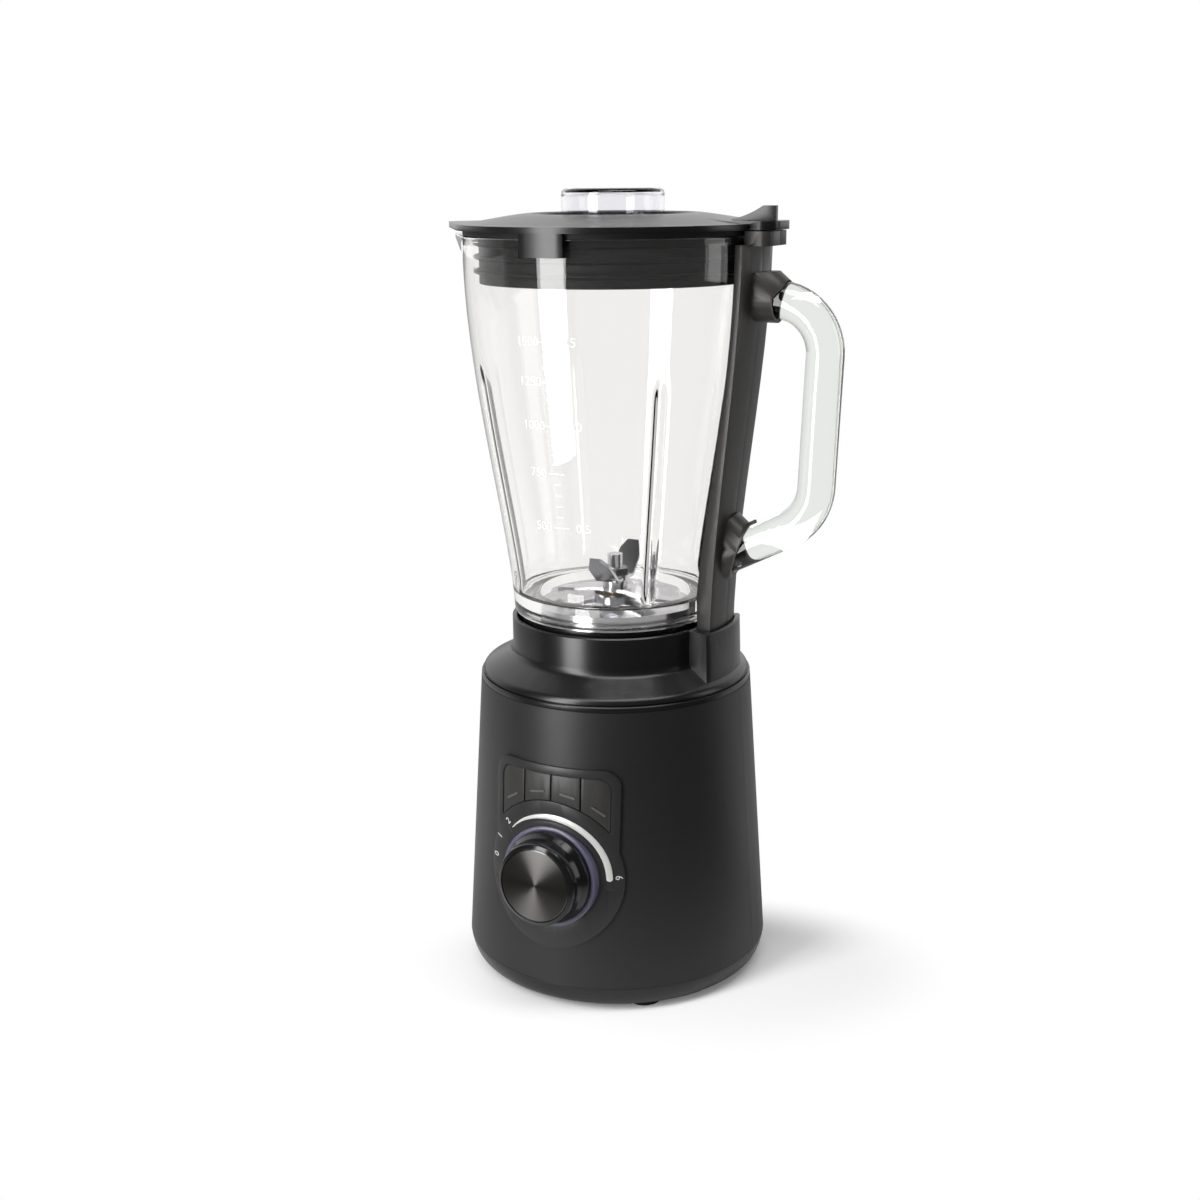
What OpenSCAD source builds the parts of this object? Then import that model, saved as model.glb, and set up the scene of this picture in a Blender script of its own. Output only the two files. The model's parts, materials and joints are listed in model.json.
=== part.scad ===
// Countertop blender with a glass jug, a dial and four program buttons.
// Millimetres, +Z up. The origin is where the motor axis meets the surface
// that the feet stand on. The controls face -Y, the handle is at +X and the
// pouring spout at -X.

/* [Motor base] */
// Radius of the housing at the seam above the bottom cover
housing_foot_r = 81; // [76:0.5:90]
// Radius of the housing at the shoulder
housing_top_r = 71.5; // [68:0.5:76]
// Height of the seam above the bottom cover
seam_z = 13.5; // [11:0.5:18]
// Height of the top edge of the housing
shoulder_z = 158.5; // [152:0.5:170]
// Wall of the moulded housings
wall = 2.6; // [2:0.1:3.4]
// Radius of the bottom cover where it turns under
cover_low_r = 75.6; // [70:0.2:79]
// Height of the bottom cover's lower edge
cover_low_z = 2.6; // [2:0.1:5]
// Radius of a rubber foot
foot_r = 9; // [6:0.5:12]
// Distance of the feet from the axis
foot_ring_r = 66; // [50:0.5:66.5]
// Angle of the feet from the handle's axis
foot_angle = 52; // [40:1:60]
// Distance of the bottom screws from the axis
screw_ring_r = 70; // [66:0.5:71]

/* [Collar] */
// Outer radius of the collar that takes the jug
collar_r = 54.3; // [53:0.1:58]
// Wall of the collar
collar_wall = 2.7; // [2:0.1:3]
// Height of the collar's rim
collar_z = 191.5; // [186:0.5:196]
// Height of the floor that the jug stands on
well_floor_z = 176; // [174:0.5:180]
// Outer radius of the guard round the foot of the handle cover
guard_r = 65.6; // [64.5:0.1:68]
// Half the angle that the guard spans
guard_half_angle = 20.5; // [18:0.5:24]
// Height of the pocket's floor inside the guard
pocket_z = 182.5; // [180:0.5:188]

/* [Control panel] */
// Height of the dial's centre
dial_z = 71.7; // [66:0.1:78]
// Radius of the round part of the panel
panel_r = 38; // [34:0.5:42]
// Half width of the part with the buttons
panel_half_w = 35; // [33:0.5:38]
// Height of the panel's upper edge
panel_top_z = 129.5; // [124:0.5:136]
// How far the panel stands out of the housing
panel_proud = 1.4; // [0.6:0.1:2]
// Width of the frame round the buttons
bezel_w = 3.4; // [2:0.1:5]
// Radius of the arc under the buttons, about the dial
button_arc_r = 38.6; // [36:0.1:41]
// Gap between neighbouring buttons
button_gap = 0.7; // [0.5:0.1:1.2]
// Travel of a button
button_travel = 1.2; // [0.6:0.1:1.6]
// Number of buttons
button_count = 4; // [3:1:5]

/* [Dial] */
// Radius of the knob's skirt
knob_back_r = 23.2; // [21:0.1:24]
// Radius of the knob's front edge
knob_front_r = 20.6; // [18:0.1:22]
// How far the knob stands out
knob_h = 17; // [12:0.5:20]
// Radius of the metal disc in the knob
disc_r = 19; // [15:0.1:19.4]
// Outer radius of the light ring
light_r = 26.2; // [25:0.1:28]
// Mean radius of the speed arc
arc_r = 31; // [29:0.1:34]
// Width of the speed arc
arc_w = 3; // [1.5:0.1:4]

/* [Motor] */
// Radius of the motor shaft
shaft_r = 4; // [3:0.1:5]
// Radius of the armature
armature_r = 23.8; // [20:0.1:26]
// Air gap round the armature
air_gap = 0.7; // [0.5:0.05:1]
// Height of the laminated stack
stack_h = 38; // [30:1:44]
// Bottom of the stack
stack_z = 78; // [76:0.5:80]
// Width of the stack across the poles
stack_w = 90; // [84:1:96]
// Depth of the stack
stack_d = 80; // [76:1:84]
// Radius of the cooling fan
fan_r = 34; // [26:0.5:38]

/* [Jug] */
// Outer radius of the glass where it leaves the collar
jug_low_r = 53; // [50:0.1:55]
// Outer radius of the glass at the rim
jug_rim_r = 75; // [70:0.1:78]
// Thickness of the glass wall
glass_wall = 4.4; // [3:0.1:5]
// Height of the jug's rim
rim_z = 386; // [370:1:400]
// Underside of the glass body
jug_low_z = 194; // [193.5:0.5:198]
// Thickness of the glass floor
floor_t = 11; // [8:0.5:14]
// How far the spout reaches from the axis
spout_reach = 90; // [84:0.5:96]
// Radius of the glass handle
handle_r = 9.2; // [7:0.1:11]
// Distance of the handle's grip from the axis
grip_x = 113.1; // [106:0.1:122]
// Height of the handle's upper arm
handle_top_z = 356; // [346:0.5:362]

/* [Handle cover] */
// Half the angle that the cover spans
strip_half_angle = 15; // [12:0.5:17]
// Wall of the cover
strip_wall = 2.4; // [1.8:0.1:3]

/* [Lid] */
// Radius of the lid's flange
lid_r = 78.4; // [76:0.1:82]
// Thickness of the flange
flange_t = 2.8; // [2:0.1:4]
// Radius of the crest round the recess
crest_r = 41.3; // [36:0.1:48]
// How far the crest stands above the flange
crest_h = 4.6; // [2:0.1:7]
// Radius of the skirt inside the jug
skirt_r = 65; // [60:0.1:66]
// How far the skirt reaches into the jug
skirt_h = 24; // [16:0.5:30]
// How far the tab reaches from the axis
tab_reach = 90.3; // [86:0.1:96]
// Radius of the measuring cap
cap_r = 25.7; // [20:0.1:30]
// Height of the measuring cap above the flange
cap_h = 16.6; // [10:0.1:24]
// Wall of the measuring cap
cap_wall = 2.2; // [1.5:0.1:3]

/* [Blades] */
// Radius that the lower blades sweep
blade_r = 33; // [26:0.5:36]
// Width of a blade at its root
blade_w = 13; // [9:0.5:15]
// Thickness of the blade steel
blade_t = 1.6; // [1.2:0.1:2.4]
// Radius of the blade shaft
blade_shaft_r = 4; // [3:0.1:4.5]

/* [Fits] */
// Radial running clearance of a shaft in its bearing
run = 0.05; // [0.02:0.01:0.09]
// Gap between pieces that move apart
part_gap = 0.3; // [0.25:0.05:0.4]
// Gap between pieces of one assembly that seat on each other
seat = 0.1; // [0.05:0.05:0.2]

/* [Hidden] */
$fn = 96;
eps = 0.01;
far = 300;

// Place of the motor's axis: the origin lies under the middle of the whole part
axis_x = -13.6;
axis_y = 6;

// Housing
taper = (housing_foot_r - housing_top_r) / (shoulder_z - seam_z);
taper_angle = atan(taper);
function housing_r(z) = housing_foot_r - (z - seam_z) * taper;
screw_angle = 22;
boss_r = 4.2;
screw_r = 2;
screw_head_r = 3.6;
cover_floor_z = cover_low_z + 3.2;
foot_neck_r = foot_r - 3;
gland_z = 26;
gland_hole_r = 7;
cord_hole_r = 3.6;
spigot_h = 7;

// Collar and guard
fillet_r = 5;
shoulder_round_r = 4.5;
shoulder_r = housing_top_r - 1.1;
shoulder_low_z = shoulder_z + 5.5;
band_h = 2.9;
groove_h = 0.7;
groove_w = 1;
shoulder_start_z = 172.5;
guard_wall = 2;
guard_foot_z = 164;
well_r = collar_r - collar_wall;
pocket_out_r = guard_r - guard_wall;
edge_r = housing_top_r - 0.2;
band_top_z = shoulder_z + band_h;
spigot_r = housing_top_r - wall - seat;
seal_hole_r = shaft_r + 4;
interlock_angle = -125;
interlock_r = 42;
pin_r = 2.5;

// Panel
arc_seat = 0.7;
dial_r = housing_r(dial_z);
button_half_w = panel_half_w - bezel_w;
button_top_z = panel_top_z - bezel_w;
button_pitch = 2 * button_half_w / button_count;
light_in_r = knob_back_r + 0.4;
light_depth = 8;
spindle_r = 3;
spindle_flat = 1.8;
board_y = 56;
board_t = 1.6;
board_half_w = 38;
board_z = 86;
board_h = 50;
button_z = 116;
stem_share = 0.86;
switch_reach = 3.9;
switch_depth = 27;
switch_plate_half_w = 36;
switch_plate_t = 2.5;
switch_h = 12;
switch_half_w = 13;
bush_r = 4.6;

// Motor
stack_top = stack_z + stack_h;
coil_h = 9;
winding_h = 11;
brush_z = 57;
brush_w = 6;
brush_h = 8;
brush_l = 16;
brush_gap = 0.2;
holder_wall = 3;
holder_w = brush_w + 2 * holder_wall;
holder_h = brush_h + 2 * holder_wall;
holder_l = 22;
holder_foot_l = 12;
commutator_r = 11;
lower_bearing_z = 40;
upper_bearing_z = stack_top + 16;
bearing_h = 7;
bearing_r = 9.5;
bracket_t = 3;
post_x = 36;
post_y = 31;
post_r = 2;
mount_r = 6;
mount_h = 9;
upper_bracket_z = upper_bearing_z + 1;
mounts_top_z = upper_bracket_z + bracket_t + mount_h / 2;
screw_grip = 14;
fan_z = 18;
fan_h = 15;
shaft_low_z = 12;

// Couplings
socket_z = well_floor_z + 1.2;
socket_h = 10.5;
socket_r = 17;
lobe_count = 6;
lobe_r = 11.5;
driven_z = socket_z + 2.4;
driven_h = 8;
shaft_top_z = socket_z + 1.6;

// Jug base, blade carrier and its gasket
base_z = well_floor_z + part_gap;
base_floor_t = 2.4;
carrier_z = base_z + base_floor_t + seat;
carrier_t = 2.4;
gasket_t = 2.2;
gasket_z = carrier_z + carrier_t + seat;
neck_z = gasket_z + gasket_t + part_gap;
neck_r = 44;
neck_wall = 5;
neck_in_r = neck_r - neck_wall;
carrier_r = neck_in_r - part_gap;
base_in_r = neck_r + part_gap;
base_out_r = well_r - 1;
base_top_z = jug_low_z - part_gap;
hub_r = 25;
hub_in_r = 20;
hub_z = well_floor_z + 24;
hub_roof_t = 3;
bush_out_r = 8;
bush_z = driven_z + driven_h + 0.7;
bush_top_z = hub_z + 3;
blade_z = bush_top_z + 1;
blade_top_z = blade_z + 2 * blade_t + 10;

// Jug
floor_z = jug_low_z + floor_t;
inner_low_r = jug_low_r - glass_wall;
low_point = [jug_low_r, jug_low_z + 3];
rim_point = [jug_rim_r, rim_z - 3];
outer_wall = curve([low_point, low_point + [3, 48], rim_point + [0.6, -66], rim_point], 14);
inner_wall = [for (q = outer_wall) if (q[1] > floor_z + 4) [q[0] - glass_wall, q[1]]];
// Outer and inner radius of the jug at a height
function outer_at(z) = lookup(z, [for (q = outer_wall) [q[1], q[0]]]);
function inner_at(z) = outer_at(z) - glass_wall;
rib_r = 3.2;
rib_low_z = floor_z + 1;
rib_top_z = rim_z - 68;
rib_sink = 1.2;
spout_z = rim_z - 40;
spout_r = 17;

// Handle route in the XZ plane, from the upper to the lower end
upper_bend = 25;
lower_bend = 26;
bar_overlap = 0.5;
bar_step = 0.02;
handle_lower_z = 219.2;
handle_root_x = outer_at(handle_top_z) - 1.8;
handle_lower_x = outer_at(handle_lower_z) - 8.2;
lower_corner = [grip_x - 4.3, 251.1];
handle_route = [[handle_root_x, handle_top_z], [grip_x, handle_top_z],
                lower_corner, [handle_lower_x, handle_lower_z]];
handle_bends = [upper_bend, lower_bend];

// Handle cover
strip_gap = 0.3;
strip_low_z = pocket_z + part_gap;
strip_low_r = pocket_out_r - 0.8;
strip_top_z = rim_z - 4;
strip_top_r = jug_rim_r + 4.6;
sleeve_r = handle_r + 1.9;
arm_gap = 0.15;
upper_sleeve_x = 88;
lower_sleeve_x = 72;
lower_sleeve_z = 232.5;
sleeve_face_lean = 20;
sleeve_flank_angle = 40;
thumb_x = 88;
thumb_half_w = 13;
thumb_top_z = rim_z + 2.2;
thumb_t = 6.8;

// Lid
flange_z = rim_z + 2.8;
flange_top_z = flange_z + flange_t;
crest_z = flange_top_z + crest_h;
lid_wall = 2.6;
recess_z = flange_z - 1;
cap_hole_r = cap_r - 2.2;
skirt_z = flange_z - skirt_h;
seal_in_r = skirt_r + seat;
seal_lip_r = 69.8;
seal_rim_r = jug_rim_r - 0.2;
seal_low_z = skirt_z + 2;
seal_top_z = flange_z - seat;
spout_tip_r = 8;
spout_cover = 94;
tab_half_w = 13;
tab_t = 4;
lug_half_angle = 8.5;
lug_drop = 11;
lug_t = 1.8;
fin_t = 3;
cap_z = recess_z + lid_wall + part_gap;
cap_top_z = flange_top_z + cap_h;
cap_skirt_r = cap_hole_r - part_gap;
cap_skirt_z = cap_z - 13;

// ---- Shared functions and shapes ----

function bezier(p, t) =
  pow(1 - t, 3) * p[0] + 3 * t * pow(1 - t, 2) * p[1]
  + 3 * t * t * (1 - t) * p[2] + pow(t, 3) * p[3];
function curve(p, steps) = [for (i = [0:steps]) bezier(p, i / steps)];
function reversed(list) = [for (i = [len(list) - 1:-1:0]) list[i]];
function widened(list, by) = [for (q = list) [q[0] + by, q[1]]];
function arc_points(centre, r, from, to, steps) =
  [for (i = [0:steps]) centre + r * [cos(from + (to - from) * i / steps),
                                     sin(from + (to - from) * i / steps)]];

module copies_round(count, r = 0, start = 0) {
  for (i = [0:count - 1]) rotate([0, 0, start + i * 360 / count])
    translate([r, 0, 0]) children();
}

// Four copies, at an angle to either side of the X axis
module mirrored_pairs(angle, r) {
  for (a = [angle, 180 - angle, 180 + angle, -angle]) rotate([0, 0, a])
    translate([r, 0, 0]) children();
}

module tube(r_out, r_in, h) {
  difference() {
    cylinder(r = r_out, h = h);
    translate([0, 0, -eps]) cylinder(r = r_in, h = h + 2 * eps);
  }
}

module sector(half_angle) {
  rotate([0, 0, -half_angle]) rotate_extrude(angle = 2 * half_angle) children();
}

module block(r_in, r_out, z_low, z_top) {
  translate([r_in, z_low]) square([r_out - r_in, z_top - z_low]);
}

// Turns +Z into the dial's outward normal, at a depth from the housing
module on_dial(depth = 0) {
  translate([0, -dial_r, dial_z]) rotate([90 - taper_angle, 0, 0])
    translate([0, 0, depth]) children();
}

// Extrudes an outline drawn in X and Z towards -Y through the front wall
module through_front() {
  translate([0, -dial_r / 2, 0]) rotate([90, 0, 0])
    linear_extrude(height = dial_r) children();
}

// A tapered skin of the housing between two offsets from its surface
module housing_skin(inside, outside, z_low, z_top) {
  difference() {
    translate([0, 0, z_low]) cylinder(r1 = housing_r(z_low) + outside,
                                      r2 = housing_r(z_top) + outside, h = z_top - z_low);
    translate([0, 0, z_low - 1])
      cylinder(r1 = housing_r(z_low - 1) - inside,
               r2 = housing_r(z_top + 1) - inside, h = z_top - z_low + 2);
  }
}

// ---- Motor base ----

module motor_housing() color("#1b1b1d") {
  difference() {
    housing_skin(wall, 0, seam_z + seat, shoulder_z);
    through_front() button_field(seat);
    on_dial(-12) cylinder(r = light_r + seat, h = 24);
    rotate([0, 0, 90]) translate([housing_r(gland_z) - 8, 0, gland_z]) rotate([0, 90, 0])
      cylinder(r = gland_hole_r + seat, h = 20);
  }
  mirrored_pairs(screw_angle, screw_ring_r) housing_boss();
  // Posts for the control board and for the plate of the speed switch
  intersection() {
    union() {
      at_board_posts() translate([0, 0, board_t + seat]) post(3.2, 24);
      on_dial(seat - switch_depth + switch_h)
        for (x = [-1, 1]) translate([x * (switch_plate_half_w - 4), 0, 0]) post(3.6, 24);
    }
    translate([0, 0, seam_z]) cylinder(r1 = housing_r(seam_z) - wall / 2,
                                       r2 = housing_r(shoulder_z) - wall / 2, h = shoulder_z - seam_z);
  }
}

module post(r, h) tube(r, 1.3, h);

// Screw boss of the housing, grown from its wall
module housing_boss() {
  boss_z = seam_z + seat;
  boss_h = 18;
  web_z = 6;
  difference() {
    intersection() {
      union() {
        translate([0, 0, boss_z]) cylinder(r = boss_r, h = boss_h);
        translate([0, -boss_r / 2, boss_z + web_z]) cube([boss_r + 6, boss_r, boss_h - web_z]);
      }
      translate([-screw_ring_r, 0, boss_z])
        cylinder(r1 = housing_r(boss_z) - wall / 2,
                 r2 = housing_r(boss_z + boss_h) - wall / 2, h = boss_h);
    }
    translate([0, 0, boss_z - 1]) cylinder(r = screw_r + seat, h = boss_h - 3);
  }
}

module top_cover() color("#202022") {
  slope = atan((shoulder_start_z - shoulder_low_z) / (shoulder_r - collar_r));
  bend_z = shoulder_start_z + fillet_r * tan((90 - slope) / 2);
  round_z = shoulder_low_z - shoulder_round_r * tan((90 - slope) / 2);
  fillet_at = [collar_r + fillet_r, bend_z];
  round_at = [shoulder_r - shoulder_round_r, round_z];
  round_end = asin((band_top_z + groove_h - round_z) / shoulder_round_r);
  difference() {
    union() {
      // Collar and shoulder, with a spigot inside the housing
      rotate_extrude() {
        polygon(concat(
          [[well_r, well_floor_z - wall], [well_r, collar_z - 0.8], [well_r + 0.8, collar_z],
           [collar_r - 0.6, collar_z], [collar_r, collar_z - 0.6]],
          arc_points(fillet_at, fillet_r, 180, 270 - slope, 6),
          arc_points(round_at, shoulder_round_r, 90 - slope, round_end, 6),
          arc_points(round_at, shoulder_round_r - wall, round_end, 90 - slope, 6),
          arc_points(fillet_at, fillet_r + wall, 270 - slope, 200, 6)));
        block(spigot_r - wall, spigot_r, shoulder_z - spigot_h, shoulder_z + 3);
        // Band above the seam, with a groove between it and the shoulder
        polygon([[spigot_r - wall, shoulder_z + seat], [edge_r, shoulder_z + seat],
                 [edge_r, band_top_z - 0.6], [edge_r - 0.5, band_top_z],
                 [shoulder_r - groove_w, band_top_z], [shoulder_r - groove_w, band_top_z + groove_h],
                 [spigot_r - wall, band_top_z + groove_h]]);
      }
      // Floor of the well
      translate([0, 0, well_floor_z - wall]) cylinder(r = well_r + 1, h = wall);
      guard();
      // Pillars that the motor hangs from
      at_posts(mounts_top_z + seat)
        cylinder(r = mount_r, h = well_floor_z - 1 - mounts_top_z);
    }
    translate([0, 0, well_floor_z - wall - 1]) cylinder(r = seal_hole_r, h = wall + 2);
    pocket();
    at_posts(mounts_top_z) cylinder(r = post_r + seat, h = screw_grip + 2);
    at_interlock() translate([0, 0, well_floor_z - wall - 1])
      cylinder(r = pin_r + run, h = wall + 2);
  }
}

module at_posts(z) {
  for (x = [-post_x, post_x], y = [-post_y, post_y]) translate([x, y, z]) children();
}

module at_interlock() {
  rotate([0, 0, interlock_angle]) translate([interlock_r, 0, 0]) children();
}

// Guard that stands on the shoulder round the foot of the handle cover
module guard() {
  sector(guard_half_angle) intersection() {
    polygon([[collar_r - 1, collar_z], [guard_r - 0.8, collar_z], [guard_r, collar_z - 0.8],
             [guard_r + 0.8, guard_foot_z], [collar_r - 1, guard_foot_z + 6]]);
    block(collar_r - 1, far, guard_foot_z - 4, collar_z);
  }
}

module pocket() {
  sector(strip_half_angle + 0.6)
    block(collar_r + 0.2, pocket_out_r, pocket_z, collar_z + 1);
}

module bottom_cover() color("#2a2a2c") {
  low = [cover_low_r, cover_low_z];
  seam = [housing_foot_r, seam_z];
  side = curve([low, low + [3, 0.6], seam - [0.6, 5], seam], 6);
  difference() {
    union() {
      rotate_extrude() polygon(concat(side, [[housing_foot_r - wall - 0.4, seam_z],
        [cover_low_r - wall, cover_floor_z], [0, cover_floor_z], [0, cover_low_z + 1],
        [cover_low_r - 8, cover_low_z + 1], [cover_low_r - 6, cover_low_z]]));
      mirrored_pairs(screw_angle, screw_ring_r) intersection() {
        translate([0, 0, cover_floor_z - 1]) cylinder(r = boss_r, h = seam_z - cover_floor_z + 1);
        translate([-screw_ring_r, 0, 0]) cylinder(r = housing_foot_r - 3, h = seam_z);
      }
      // Spigot that centres the housing
      translate([0, 0, cover_floor_z - 1])
        tube(housing_foot_r - wall - 0.9, housing_foot_r - wall - 2.9, seam_z - cover_floor_z + 6);
    }
    mirrored_pairs(screw_angle, screw_ring_r) {
      translate([0, 0, -1]) cylinder(r = screw_r + seat, h = far);
      translate([0, 0, -1]) cylinder(r = screw_head_r + seat, h = cover_floor_z + 2.4);
    }
    mirrored_pairs(foot_angle, foot_ring_r) {
      translate([0, 0, -1]) cylinder(r = foot_neck_r + seat, h = far);
      translate([0, 0, -1]) cylinder(r = foot_r + seat, h = cover_low_z + 2);
    }
    // Relief of the lower edge under the handle side
    relief();
    // Air slots under the fan
    for (ring = [0:2]) vent_ring(12 + 9 * ring, 8 + 6 * ring);
  }
}

module relief() {
  sector(30) block(cover_low_r - 10, far, 0, cover_low_z + 1.2);
}

module vent_ring(r, count) {
  copies_round(count) sector(180 / count - atan(1.8 / r))
    block(r, r + 5.5, 0, 30);
}

module rubber_feet() color("#0f0f0f") {
  mirrored_pairs(foot_angle, foot_ring_r) {
    difference() {
      cylinder(r1 = foot_r - 0.6, r2 = foot_r, h = cover_low_z + 1 - seat);
      translate([0, 0, -eps]) cylinder(r1 = foot_r - 2.4, r2 = foot_r - 3.4, h = 1.2);
    }
    cylinder(r = foot_neck_r, h = cover_floor_z + 1);
    translate([0, 0, cover_floor_z + seat]) cylinder(r1 = foot_neck_r + 0.7, r2 = foot_neck_r - 0.6, h = 1.6);
  }
}

module bottom_screws() color("#9a9a9c") {
  head_z = cover_floor_z + 1.2 - 2.2;
  mirrored_pairs(screw_angle, screw_ring_r) translate([0, 0, head_z]) difference() {
    union() {
      cylinder(r = screw_head_r, h = 2.2);
      cylinder(r = screw_r, h = 20);
    }
    for (a = [0, 90]) rotate([0, 0, a]) translate([-2.2, -0.45, -eps]) cube([4.4, 0.9, 1.3]);
  }
}

module cord_inlet() color("#111111") {
  y_out = housing_r(gland_z);
  rotate([0, 0, 90]) translate([y_out, 0, gland_z]) rotate([0, 90, 0]) difference() {
    union() {
      translate([0, 0, -7.4]) cylinder(r = gland_hole_r, h = 9.6);
      translate([0, 0, 0.8]) cylinder(r1 = gland_hole_r + 2.4, r2 = gland_hole_r + 1.4, h = 2.4);
      translate([0, 0, -7.4]) cylinder(r = gland_hole_r + 1.6, h = 2.6);
    }
    translate([0, 0, -9]) cylinder(r = cord_hole_r, h = 14);
  }
}

// ---- Control panel ----

module panel_outline(grow = 0) {
  corner = 9;
  half = panel_half_w + grow;
  translate([0, dial_z]) circle(r = panel_r + grow);
  translate([-half, dial_z + 10]) square([2 * half, panel_top_z - dial_z - 10 - corner + grow]);
  translate([-half + corner, dial_z]) square([2 * (half - corner), panel_top_z - dial_z + grow]);
  for (side = [-1, 1]) translate([side * (half - corner), panel_top_z - corner + grow])
    circle(r = corner);
}

// The window that all the buttons share, grown by a clearance
module button_field(grow = 0) {
  corner = 7 + grow;
  half = button_half_w + grow;
  low = dial_z + 26;
  difference() {
    union() {
      translate([-half, low]) square([2 * half, button_top_z + grow - corner - low]);
      translate([-half + corner, low]) square([2 * (half - corner), button_top_z + grow - low]);
      for (side = [-1, 1]) translate([side * (half - corner), button_top_z + grow - corner])
        circle(r = corner);
    }
    translate([0, dial_z]) circle(r = button_arc_r - grow);
  }
}

module control_panel() color("#232325") {
  z_low = dial_z - panel_r - 2;
  z_top = panel_top_z + 2;
  difference() {
    intersection() {
      union() {
        housing_skin(-seat, panel_proud, z_low, z_top);
        // Frame that passes through the housing round the buttons
        intersection() {
          housing_skin(wall + 0.6, panel_proud, z_low, z_top);
          through_front() button_field(0);
        }
      }
      through_front() panel_outline();
    }
    through_front() button_field(-0.8);
    on_dial(-12) cylinder(r = light_r + seat, h = 24);
    intersection() {
      housing_skin(-arc_seat, far / 4, z_low, z_top);
      through_front() arc_shape(seat);
    }
  }
}

// Outline of the speed arc, thin at the slow end and round at the fast end
module arc_shape(grow = 0) {
  fast = -4;
  slow = 134;
  translate([0, dial_z]) {
    difference() {
      intersection() {
        circle(r = arc_r + arc_w / 2 + grow);
        polygon(concat([[0, 0]], arc_points([0, 0], 60, fast, slow, 12)));
      }
      translate([-0.5, -0.3]) circle(r = arc_r - arc_w / 2 - grow);
      rotate([0, 0, slow - 28]) translate([0.1, 0]) circle(r = arc_r - arc_w / 2 - grow);
    }
    translate(arc_r * [cos(fast), sin(fast)]) circle(r = arc_w / 2 + grow - 0.1);
  }
}

module speed_arc() color("#c9c9c6") {
  intersection() {
    housing_skin(-arc_seat - seat, panel_proud + 0.4, dial_z - 10, dial_z + arc_r + 6);
    through_front() arc_shape();
  }
}

module light_ring() color("#8f8fb4") {
  on_dial(-light_depth) {
    tube(light_r, light_in_r, light_depth + panel_proud + 0.8);
    tube(light_r, 7 + part_gap, 1.4);
  }
}

module control_board() color("#1f5a2e") difference() {
  translate([-board_half_w, -board_y - board_t, board_z])
    cube([2 * board_half_w, board_t, board_h]);
  at_board_posts() translate([0, 0, -1]) cylinder(r = 1.6, h = 6);
}

// Places of the four posts that carry the board, with +Z towards the front
module at_board_posts() {
  for (x = [-1, 1], z = [board_z + 4, board_z + board_h - 4])
    translate([x * (board_half_w - 4), -board_y, z]) rotate([90, 0, 0]) children();
}

module button_switches() color("#d8d8d8") {
  for (i = [0:button_count - 1]) {
    x = -button_half_w + (i + 0.5) * button_pitch;
    x_in = x * stem_share;
    translate([x_in, -board_y - board_t - seat, button_z]) rotate([90, 0, 0]) {
      translate([-3, -3, 0]) cube([6, 6, 3.4]);
      cylinder(r = 1.7, h = switch_reach);
    }
  }
}

module speed_switch() color("#3b3b3e") {
  on_dial(-switch_depth) difference() {
    union() {
      translate([-switch_half_w, -switch_half_w, 0]) cube([2 * switch_half_w, 2 * switch_half_w, switch_h]);
      translate([0, 0, switch_h - eps]) cylinder(r = 7, h = 3);
      translate([-switch_plate_half_w, -5, switch_h - switch_plate_t])
        cube([2 * switch_plate_half_w, 10, switch_plate_t]);
    }
    translate([0, 0, 2]) cylinder(r = bush_r + run, h = 20);
  }
}

module knob_spindle() color("#b9b9bb") {
  low = switch_depth - 2.4;
  on_dial(-low) difference() {
    union() {
      cylinder(r = bush_r, h = switch_h + 1);
      cylinder(r = spindle_r, h = low + 10);
    }
    translate([spindle_flat, -5, low - 2]) cube([5, 10, 20]);
  }
}

module speed_knob() color("#0c0c0d") {
  on_dial() difference() {
    rotate_extrude() polygon(concat(
      [[0, panel_proud + 0.5], [knob_back_r, panel_proud + 0.5], [knob_back_r, panel_proud + 1.6]],
      curve([[knob_back_r - 0.2, panel_proud + 2.4], [knob_front_r + 0.9, 5],
             [knob_front_r + 0.5, 9], [knob_front_r, knob_h - 1]], 6),
      [[knob_front_r - 0.8, knob_h], [disc_r + 0.25, knob_h], [disc_r + 0.25, knob_h - 1],
       [0, knob_h - 1]]));
    // Hollow back with a boss for the spindle
    difference() {
      translate([0, 0, -1]) cylinder(r1 = knob_back_r - 2, r2 = knob_front_r - 2.2, h = knob_h - 2.5);
      translate([0, 0, panel_proud + 1]) cylinder(r = 6, h = 20);
    }
    difference() {
      translate([0, 0, -1]) cylinder(r = spindle_r + seat, h = 11.2);
      translate([spindle_flat + seat, -5, -2]) cube([5, 10, 20]);
    }
  }
}

module knob_disc() color("#6d6a66") {
  on_dial(knob_h - 1 + seat) difference() {
    cylinder(r = disc_r, h = 0.9);
    translate([0, 0, 0.5]) tube(disc_r + 1, disc_r - 0.7, 1);
  }
}

// One button: its cap in the panel and the stem that reaches its switch
module program_button(index) {
  x_low = -button_half_w + index * button_pitch + button_gap / 2;
  x_mid = -button_half_w + (index + 0.5) * button_pitch;
  stem_front = sqrt(pow(housing_r(button_z), 2) - pow(x_mid, 2)) - 2;
  tip = board_y + board_t + seat + switch_reach + button_travel + part_gap;
  color("#2b2928") intersection() {
    housing_skin(wall + 0.4, panel_proud - 0.3, dial_z + 20, panel_top_z);
    through_front() intersection() {
      button_field(-0.8 - part_gap);
      translate([x_low, 0]) square([button_pitch - button_gap, far]);
    }
  }
  color("#2b2928") translate([x_mid * stem_share, -tip, button_z]) rotate([90, 0, 0])
    cylinder(r = 2.4, h = stem_front - tip);
}

module smoothie_button() program_button(0);
module clean_button() program_button(1);
module ice_button() program_button(2);
module pulse_button() program_button(3);

// ---- Motor ----

coil_in_r = armature_r + 1.2;
coil_out_r = 35;
pole_edge = 34;
coil_edge = 88;
coil_leg = 26;

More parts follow.
